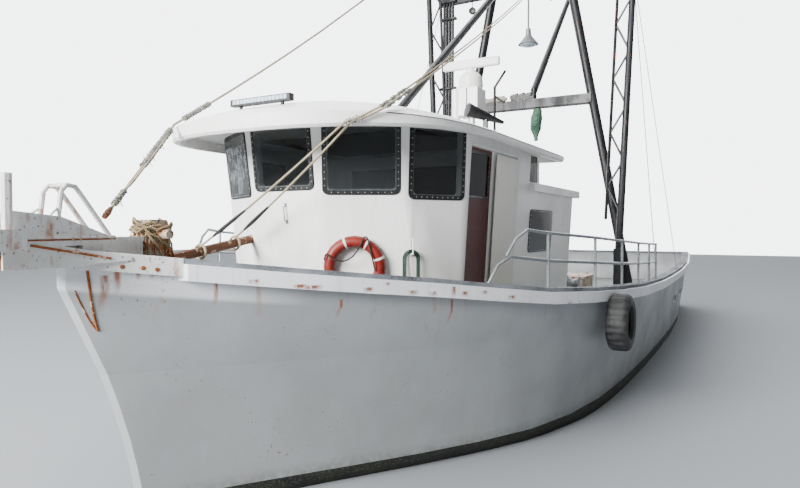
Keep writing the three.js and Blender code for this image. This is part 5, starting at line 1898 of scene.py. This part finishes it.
@dataclass
class AftHouses:
    """The deckhouse, the upper cabin and the exhaust."""

    window_x: Pair = (2.88, 4.18)
    window_v: Pair = (-0.87, -0.15)
    upper_pane: Triple = (3.825, 1.786, 3.825)
    upper_size: Pair = (0.61, 0.43)
    lock_at: Triple = (1.499, -0.27, 2.52)
    lever: tuple[Triple, ...] = ((1.50, -0.27, 2.55), (1.455, -0.27, 2.55), (1.452, -0.15, 2.55))
    # The aft door's dogs: X and Y of their points, and their heights.
    dog: tuple[Pair, ...] = ((1.505, -0.30), (1.47, -0.30), (1.468, -0.36))
    dog_z: Pair = (1.85, 3.1)

    def build(self, wheelhouse: Wheelhouse) -> None:
        """Dress the aft houses and bolt their panes.

        Args:
            wheelhouse: The wheelhouse, whose side faces run on aft.
        """
        dress_nodes(HOUSE_PAINT, "deckhouse_walls", "upper_cabin", "deckhouse_roof")
        # The deckhouse panes are opaque black, painted shade of the room behind them.
        dress_nodes(CABIN_SHADE_GLASS, "window_deckhouse_port", "window_deckhouse_starboard")
        dress_nodes(DOOR_PAINT, "aft_door")
        dress_nodes(RIG_PAINT, "exhaust_stack")
        work = Meshwork()
        for face in (wheelhouse.faces[0], wheelhouse.faces[6]):
            place = face.frame()
            way = -1 if face.angle > 0 else 1
            out = place.to_3x3() @ Vector((0, 0, 1))
            spots = wheelhouse.rim(*self.window_x, *self.window_v)
            seats = [(place @ Vector((way * x, v, 0.012)), out) for x, v in spots]
            work.heads(seats, wheelhouse.bolt_radius, wheelhouse.bolt_height, 8)
        work.piece("deckhouse_window_bolts", BRIGHT_BOLT)
        self.upper_panes()
        self.door_gear()

    def upper_panes(self) -> None:
        """Glaze the upper cabin's side windows in black gaskets."""
        panes, gaskets = Meshwork(), Meshwork()
        x, y, z = self.upper_pane
        wide, high = self.upper_size
        corners = [(-1, -1), (1, -1), (1, 1), (-1, 1)]
        for side in (1, -1):
            panes.panel((x, side * y, z), (wide, 0.010, high), chamfer=0.003)
            ring = [(x + du * wide / 2, side * (y + 0.003), z + dv * high / 2) for du, dv in corners]
            gaskets.tube(ring, 0.008, 6, closed=True)
        # These panes are opaque black, painted shade of the cabin behind them.
        panes.piece("upper_cabin_panes", CABIN_SHADE_GLASS)
        gaskets.piece("upper_cabin_gaskets", GASKET)

    def door_gear(self) -> None:
        """Fit a lever handle and dogs to the aft door."""
        work = Meshwork()
        work.panel(self.lock_at, (0.012, 0.05, 0.16), chamfer=0.003)
        work.tube(self.lever, 0.010, 8)
        for z in self.dog_z:
            work.tube([(x, y, z) for x, y in self.dog], 0.012, 8)
        work.piece("aft_door_handle", ZINC, Body.AFT_DOOR)


# Roof gear


@dataclass
class RoofGear:
    """The light bar, radar, horn and aerial arm."""

    radar: Triple = (4.0, 0.75, 5.52)
    bar_size: Triple = (0.085, 1.06, 0.16)
    bar_up: float = 0.155
    cell_pitch: float = 0.055
    cell_size: Triple = (0.010, 0.051, 0.050)
    # How far below the scanner the cable starts, its step down and its number of points.
    cable_from: float = 0.30
    cable_step: float = 0.085
    cable_points: int = 10
    arm_x: float = 3.55
    arm_y: float = 1.02
    bend_z: float = 5.33
    fork_z: float = 5.17

    def build(self) -> None:
        """Dress the roof gear and add lenses, the scanner bar, cable and arm."""
        dress_nodes(RIG_PAINT, "light_bar", "horn")
        dress_nodes(HOUSE_PAINT, "radar_post")
        self.lamp_cells()
        self.scanner()
        self.cable()
        self.aerial_arm()

    def lamp_cells(self) -> None:
        """Set a row of square lamp cells in the front of the light bar."""
        low, high = (Vector(corner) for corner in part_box("light_bar"))
        count = int((high.y - low.y - 0.03) / self.cell_pitch)
        first = (low.y + high.y - self.cell_pitch * (count - 1)) / 2
        bar = Shell("light_bar")
        work = Meshwork()
        for k in range(count):
            y = first + self.cell_pitch * k
            face = bar.spot((high.x + 1, y, high.z - 0.035), (-1, 0, 0))
            work.panel(face + Vector((0.001, 0, 0)), self.cell_size, chamfer=0.004)
        work.piece("light_bar_cells", LENS)

    def scanner(self) -> None:
        """Mould the scanner as a rounded bar on a turned neck."""
        x, y, z = self.radar
        work = Meshwork()
        work.panel((x, y, z + self.bar_up), self.bar_size, chamfer=0.034, segments=4)
        profile = [(0.0, 0.004), (0.085, 0.004), (0.085, 0.03), (0.045, 0.075), (0.0, 0.075)]
        work.turned(profile, (x, y, z), (0, 0, 1), 20)
        work.piece("radar_scanner_bar", HOUSE_PAINT, Body.RADAR, replaces=["radar_scanner"])

    def cable(self) -> None:
        """Clip the radar's cable down its post."""
        post = Shell("radar_post")
        x, y, z = self.radar
        work = Meshwork()
        line = []
        for k in range(self.cable_points):
            level = z - self.cable_from - self.cable_step * k
            spot, way = post.touch((x + 1.5, y + 0.01 * math.sin(k), level), (-1, 0, 0))
            line.append(spot + way * 0.006)
        work.tube(smooth_line(line, 3), 0.008, 8)
        work.piece("radar_cable", RUBBER)

    def aerial_arm(self) -> None:
        """Stand a bent black arm with a stub beside the radar, on a plate on the roof."""
        roof = Shell("wheelhouse_roof", "upper_cabin", "deckhouse_roof")
        foot = roof.under(self.arm_x, self.arm_y)
        work = Meshwork()
        work.panel(foot + Vector((0, 0, 0.006)), (0.14, 0.14, 0.014), chamfer=0.003)
        bend = Vector((foot.x, foot.y, self.bend_z))
        work.tube([foot, bend, bend + Vector((0, 0.20, 0.275))], [0.022, 0.024, 0.022], 10)
        fork = Vector((foot.x, foot.y, self.fork_z))
        work.tube([fork, fork + Vector((0, 0.18, -0.13))], 0.018, 10)
        work.piece("aerial_arm", RIG_PAINT)


# Rig


@dataclass
class Rig:
    """The mast, boom and outriggers with their wires, blocks, canvas and nets."""

    mast_x: float = -1.6
    crosstree_z: float = 9.0
    crosstree_half: float = 2.5
    masthead_z: float = 13.0
    # Where the shrouds end on the port side; the starboard ones mirror them.
    shroud_feet: tuple[Triple, ...] = ((-3.6, 3.32, 1.80), (0.3, 3.33, 1.80))
    bundle_z: float = 6.19
    canvas_y: Pair = (-2.0, -0.6)
    canvas_points: int = 15
    coil_turns: int = 9
    coil_y: float = -0.48
    coil_pitch: float = 0.062
    leg_y: float = -2.2
    pipe_x: float = -1.43
    block_y: tuple[float, ...] = (-1.6, 0.55, 1.6)
    clamp_z: tuple[float, ...] = (3.0, 6.62, 8.5, 8.97)
    pipe_reach: tuple[float, ...] = (0.085, 0.0, -0.085, -0.17)

    def build(self) -> None:
        """Dress the rig and rig its wires and bundles."""
        dress_nodes(RIG_PAINT, "mast", "outrigger_step_port", "outrigger_step_starboard")
        dress_nodes(RIG_PAINT, "boom", "outrigger_port", "outrigger_starboard")
        dress_nodes(ZINC, "floodlight")
        self.shrouds()
        self.beam_bundle()
        self.beam_gear()
        self.lamp_lens()
        self.hung_nets()
        self.blocks()

    def shrouds(self) -> None:
        """Stay the crosstree to the deck edges with wire."""
        work = Meshwork()
        for side in (1, -1):
            half = side * self.crosstree_half
            for x, y, z in self.shroud_feet:
                work.tube([(self.mast_x, half, self.crosstree_z), (x, side * y, z)], 0.008, 6)
            above = (self.mast_x, half, self.crosstree_z + 0.08)
            work.tube([(self.mast_x, 0, self.masthead_z), above], 0.007, 6)
        work.piece("shroud_wires", WIRE)

    def beam_bundle(self) -> None:
        """Lash a coil of grey-white rope and a roll of canvas along the top of the beam."""
        roll = Meshwork()
        draw = random.Random(3)
        line, radii = [], []
        start, end = self.canvas_y
        last = self.canvas_points - 1
        for k in range(self.canvas_points):
            share = k / last
            level = self.bundle_z + 0.02 * math.sin(9 * share)
            line.append((self.mast_x + 0.02, start + (end - start) * share, level))
            radii.append(0.075 + draw.uniform(-0.018, 0.018) if 0 < k < last else 0.03)
        roll.tube(line, radii, 12)
        roll.piece("beam_canvas", CANVAS)
        coil = Meshwork()
        for k in range(self.coil_turns):
            reach = 0.085 + 0.012 * (k % 3)
            at = self.coil_y + self.coil_pitch * k
            first = (self.mast_x + 0.03, at, self.bundle_z)
            second = (self.mast_x + 0.03, at + 0.06, self.bundle_z + 0.01)
            coil.tube(helix(first, second, reach, 1.9, 14, 0.008), 0.015, 6)
        coil.piece("beam_rope_coil", GREY_ROPE)
        ties = Meshwork()
        for k in (2, 5, 8, 11):
            x, y, z = line[k]
            ties.tube([(x + 0.1 * c, y, z + 0.1 * s) for c, s in circle(12)], 0.010, 6, closed=True)
        ties.piece("beam_canvas_ties", GREEN_ROPE)

    def beam_gear(self) -> None:
        """Bolt a dark bracket on the beam, and clamp four pipes that run from deck to crosstree."""
        bracket = Meshwork()
        bracket.panel((self.mast_x + 0.03, -0.16, 6.085), (0.22, 0.68, 0.05), chamfer=0.008)
        for y in (-0.44, 0.12):
            bracket.panel((self.mast_x + 0.13, y, 6.15), (0.02, 0.05, 0.16), chamfer=0.005)
        bracket.piece("beam_bracket", RIG_PAINT)
        pipes = Meshwork()
        foot = Shell("working_deck").under(self.pipe_x, self.leg_y)
        tree = Shell("mast").spot((self.mast_x + 3, self.leg_y, self.crosstree_z), (-1, 0, 0))
        head = tree + Vector((0.03, 0, 0.04))
        for reach in self.pipe_reach:
            aside = Vector((0, reach, 0))
            pipes.tube([foot + aside, head + aside], 0.038, 10)
        middle = Vector((0, sum(self.pipe_reach) / len(self.pipe_reach), 0))
        pipes.panel(foot + middle + Vector((0, 0, 0.008)), (0.2, 0.5, 0.02), chamfer=0.004)
        for level in self.clamp_z:
            seat = foot.lerp(head, (level - foot.z) / (head.z - foot.z)) + middle
            pipes.panel(seat, (0.13, 0.46, 0.07), chamfer=0.01)
        pipes.piece("mast_pipe_bundle", RIG_PAINT)

    def lamp_lens(self) -> None:
        """Fit a domed lens in the mouth of the floodlight."""
        work = Meshwork()
        profile = [(0.0, -0.02), (0.2, -0.02), (0.2, -0.035), (0.12, -0.075), (0.0, -0.09)]
        work.turned(profile, (-1.47, 0, 7.52), (0, 0, 1), 20)
        work.piece("floodlight_lens", LENS)

    def hung_nets(self) -> None:
        """Hang a hank of net under the beam."""
        work = Meshwork()
        draw = random.Random(8)
        line, radii = [], []
        for k in range(10):
            share = k / 9
            sway = 0.03 * math.sin(5 * share)
            level = 5.92 - 0.86 * share
            line.append((self.mast_x + sway, 0.19 + 0.03 * math.cos(4 * share), level))
            swell = math.sin(math.pi * min(1, share * 1.15)) ** 0.7
            radii.append(0.05 + 0.10 * swell + draw.uniform(-0.01, 0.01))
        work.tube(line, radii, 14)
        work.piece("beam_net_hank", NET)

    def blocks(self) -> None:
        """Hang three rope blocks from the crosstree by short strops."""
        mast = Shell("mast")
        work = Meshwork()
        cheek = [(0.0, -0.007), (0.085, -0.007), (0.095, 0.0), (0.085, 0.007), (0.0, 0.007)]
        sheave = [(0.0, -0.024), (0.075, -0.024), (0.06, 0.0), (0.075, 0.024), (0.0, 0.024)]
        for y in self.block_y:
            start = Vector((self.mast_x, y, self.crosstree_z + 0.9)) - Vector((0, 0, 2.5))
            eye = mast.spot(start, (0, 0, 1))
            work.tube([eye + Vector((0, 0, 0.01)), eye - Vector((0, 0, 0.16))], 0.012, 8)
            middle = eye - Vector((0, 0, 0.26))
            for side in (-0.028, 0.028):
                work.turned(cheek, middle + Vector((side, 0, 0)), (1, 0, 0), 16)
            work.turned(sheave, middle, (1, 0, 0), 16)
            work.tube([middle + Vector((0, 0, 0.12)), middle - Vector((0, 0, 0.11))], 0.010, 8)
        work.piece("mast_blocks", RIG_PAINT)


# Deck gear


@dataclass
class DeckGear:
    """The winch, hatch, side rails, life ring and fender."""

    winch: Triple = (-0.25, 0.65, 1.56)
    ring_at: Triple = (-3.165, -0.926, 0.0703)
    ring_major: float = 0.308
    ring_minor: float = 0.070
    # Picture places of the line on the ring.
    ring_line: tuple[Pair, ...] = (
        (324, 260), (326.5, 254), (334, 259.5), (344, 261), (353, 256), (360, 246), (363.5, 238),
        (366, 237), (368, 240), (371.5, 255), (375, 271),
    )

    def build(self, wheelhouse: Wheelhouse) -> None:
        """Dress the deck gear and wind, band and lash it.

        Args:
            wheelhouse: The wheelhouse, which carries the life ring.
        """
        dress_nodes(RIG_PAINT, "winch_frame")
        dress_nodes(ZINC, "winch_drum_port", "winch_drum_starboard")
        dress_nodes(ZINC, "side_rail_port", "side_rail_starboard")
        dress_nodes(RUSTY_PAINT, "hatch_coaming", "hatch_lid")
        dress_nodes(RING_SHELL, "life_ring", crease=60)
        self.winch_wire()
        self.hatch_dogs()
        self.ring_bands(wheelhouse.face("port_bow"))
        self.tyre()

    def winch_wire(self) -> None:
        """Wind wire on both winch drums."""
        x, y, z = self.winch
        drums = ((1, Body.WINCH_PORT, "port"), (-1, Body.WINCH_STARBOARD, "starboard"))
        for side, body, name in drums:
            work = Meshwork()
            line = helix((x, side * y - 0.535, z), (x, side * y + 0.535, z), 0.268, 34, 14)
            work.tube(line, 0.016, 6)
            work.piece(f"winch_wire_{name}", WIRE, body)

    def hatch_dogs(self) -> None:
        """Screw four wing dogs down on the hatch lid."""
        low, high = (Vector(corner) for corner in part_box("hatch_lid"))
        lid = Shell("hatch_lid")
        profile = [(0.0, -0.001), (0.03, -0.001), (0.022, 0.02), (0.0, 0.02)]
        work = Meshwork()
        for dx in (0.16, 0.84):
            for dy in (0.12, 0.88):
                x, y = low.x + (high.x - low.x) * dx, low.y + (high.y - low.y) * dy
                seat = lid.under(x, y, high.z + 1)
                work.turned(profile, seat, (0, 0, 1), 12)
                ends = [seat + Vector((0, side * 0.045, 0.022)) for side in (-1, 1)]
                work.tube([ends[0], seat + Vector((0, 0, 0.014)), ends[1]], [0.006, 0.009, 0.006], 8)
        work.piece("hatch_dogs", RUST, Body.HATCH_LID)

    def ring_bands(self, face: Face) -> None:
        """Band the life ring in four places and hang its grab line.

        Args:
            face: The face of the house that the ring hangs on.
        """
        place = face.frame()
        middle = Vector(self.ring_at)
        work = Meshwork()
        for degrees, half in ((111, 2.4), (63, 2.0), (19, 2.4), (200, 2.4), (290, 2.4)):
            rings = []
            for k in range(4):
                a = math.radians(degrees - half + 2 * half * k / 3)
                spoke = Vector((math.cos(a), math.sin(a), 0))
                ring = []
                for c, s in circle(16):
                    reach = self.ring_major + (self.ring_minor + 0.002) * c
                    lift = max(-self.ring_minor, (self.ring_minor + 0.002) * s)
                    ring.append(place @ (middle + spoke * reach + Vector((0, 0, lift))))
                rings.append(ring)
            work.skin(rings)
        work.piece("life_ring_bands", RING_BAND)
        rope = Meshwork()
        # The line is tied over the ring at its left and top and sags across the hole.
        front = place.to_3x3() @ Vector((0, 0, 1))
        plane = place @ Vector((0, 0, self.ring_at[2] + self.ring_minor + 0.009))
        start = Vector(SIGHT.at)
        ways = [SIGHT.ray(across, down) for across, down in self.ring_line]
        line = [start + way * ((plane - start).dot(front) / way.dot(front)) for way in ways]
        rope.tube(smooth_line(line, 4), 0.009, 8)
        rope.piece("life_ring_line", DARK_ROPE)

    def tyre(self) -> None:
        """Mould the tyre fender with lugs on its tread and beads at its rims."""
        low, high = (Vector(corner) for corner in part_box("tyre_fender"))
        middle = (low + high) / 2
        radius = min(high.x - low.x, high.z - low.z) / 2
        wide = high.y - low.y
        section = (
            (0.56, -0.30), (0.60, -0.44), (0.78, -0.49), (0.92, -0.42), (0.99, -0.28),
            (0.99, -0.10), (0.99, 0.10), (0.99, 0.28), (0.92, 0.42), (0.78, 0.49),
            (0.60, 0.44), (0.56, 0.30), (0.64, 0.24), (0.64, -0.24),
        )
        work = Meshwork()
        rings = []
        for k, (c, s) in enumerate(circle(96)):
            spoke = Vector((c, 0, s))
            lug = 0.0 if k % 4 < 2 else 0.022
            ring = []
            for reach, out in section:
                cut = lug if reach > 0.9 and abs(out) > 0.05 else 0.0
                ring.append(middle + spoke * radius * (reach - cut) + Vector((0, wide * out, 0)))
            rings.append(ring)
        work.skin(rings, closed=True)
        work.piece("tyre_fender_tread", RUBBER, replaces=["tyre_fender"], crease=50)


# Studio


@dataclass
class Studio:
    """The camera at the photograph's angle, a pale floor at the waterline and soft light."""

    sight: Sight = SIGHT
    floor_half: float = 60
    # Each softbox: its name, its place, where it points, its width and height, and its power.
    softboxes: tuple[tuple[str, Point, Point, Pair, float], ...] = (
        ("overhead_softbox", (4, -6, 24), (2, 0, 0), (34, 26), 6000),
        ("bow_softbox", (31, -5, 12), (6, 0, 2.5), (14, 10), 27000),
    )
    # The white wall: the way to it, how straight toward it its fade starts and ends, and the
    # strength of the light away from it and on it.
    sky_side: Triple = (-0.85, -0.48, 0.2)
    sky_fade: Pair = (0.67, 0.8)
    sky_range: Pair = (0.36, 6.0)

    def build(self) -> None:
        """Set up the camera, the floor and the lights."""
        self.camera()
        self.floor()
        for softbox in self.softboxes:
            self.lamp(*softbox)
        world = bpy.data.worlds.new("studio")
        bpy.context.scene.world = world
        world.use_nodes = True
        tree = world.node_tree
        sky = tree.nodes["Background"]
        sky.inputs["Color"].default_value = to_linear("#f1f4f8")
        # The studio's white wall stands beyond the starboard quarter and fades to both sides of it.
        plugs = {0: add(tree, "TexCoord"), 1: self.sky_side}
        toward = add(tree, "VectorMath", plugs, 1, operation="DOT_PRODUCT")
        plugs = {"Value": toward, "From Min": self.sky_fade[0], "From Max": self.sky_fade[1]}
        plugs |= {"To Min": self.sky_range[0], "To Max": self.sky_range[1]}
        tree.links.new(add(tree, "MapRange", plugs), sky.inputs["Strength"])

    def camera(self) -> None:
        """Place the camera; its lens and pitch follow from the picture's focal length and horizon."""
        sight = self.sight
        data = bpy.data.cameras.new("camera")
        data.sensor_width = 36
        data.lens = sight.focal_px * data.sensor_width / IMAGE_WIDTH
        data.clip_end = 500
        look = sight.ray(IMAGE_WIDTH / 2, IMAGE_HEIGHT / 2)
        made = bpy.data.objects.new("camera", data)
        made.location = sight.at
        made.rotation_euler = look.to_track_quat("-Z", "Y").to_euler()
        bpy.context.scene.collection.objects.link(made)
        bpy.context.scene.camera = made

    def floor(self) -> None:
        """Lay a plain pale floor at the waterline."""
        half = self.floor_half
        data = bpy.data.meshes.new("floor")
        corners = [(-half, -half, 0), (half, -half, 0), (half, half, 0), (-half, half, 0)]
        data.from_pydata(corners, [], [(0, 1, 2, 3)])
        made = bpy.data.objects.new("floor", data)
        paper = bpy.data.materials.new("floor paper")
        paper.use_nodes = True
        shader = paper.node_tree.nodes["Principled BSDF"]
        shader.inputs["Base Color"].default_value = to_linear("#85898d")
        shader.inputs["Roughness"].default_value = 0.9
        data.materials.append(paper)
        bpy.context.scene.collection.objects.link(made)

    def lamp(self, name: str, at: Point, aim: Point, size: Pair, watts: float) -> None:
        """Hang a rectangular softbox that points at a place.

        Args:
            name: The lamp's name.
            at: Where it hangs.
            aim: Where it points.
            size: Its width and height.
            watts: Its power.
        """
        data = bpy.data.lights.new(name, "AREA")
        data.shape = "RECTANGLE"
        data.size, data.size_y = size
        data.energy = watts
        made = bpy.data.objects.new(name, data)
        made.location = at
        way = Vector(aim) - Vector(at)
        made.rotation_euler = way.to_track_quat("-Z", "Y").to_euler()
        bpy.context.scene.collection.objects.link(made)


def main() -> None:
    """Build the studio and dress the boat from the hull up."""
    logging.basicConfig(level=logging.INFO, format="%(name)s: %(message)s")
    Studio().build()
    wheelhouse = Wheelhouse()
    wheelhouse.build()
    Hull().build()
    Bow().build()
    Foredeck().build()
    AftHouses().build(wheelhouse)
    RoofGear().build()
    Rig().build()
    DeckGear().build(wheelhouse)


if __name__ == "__main__":
    main()
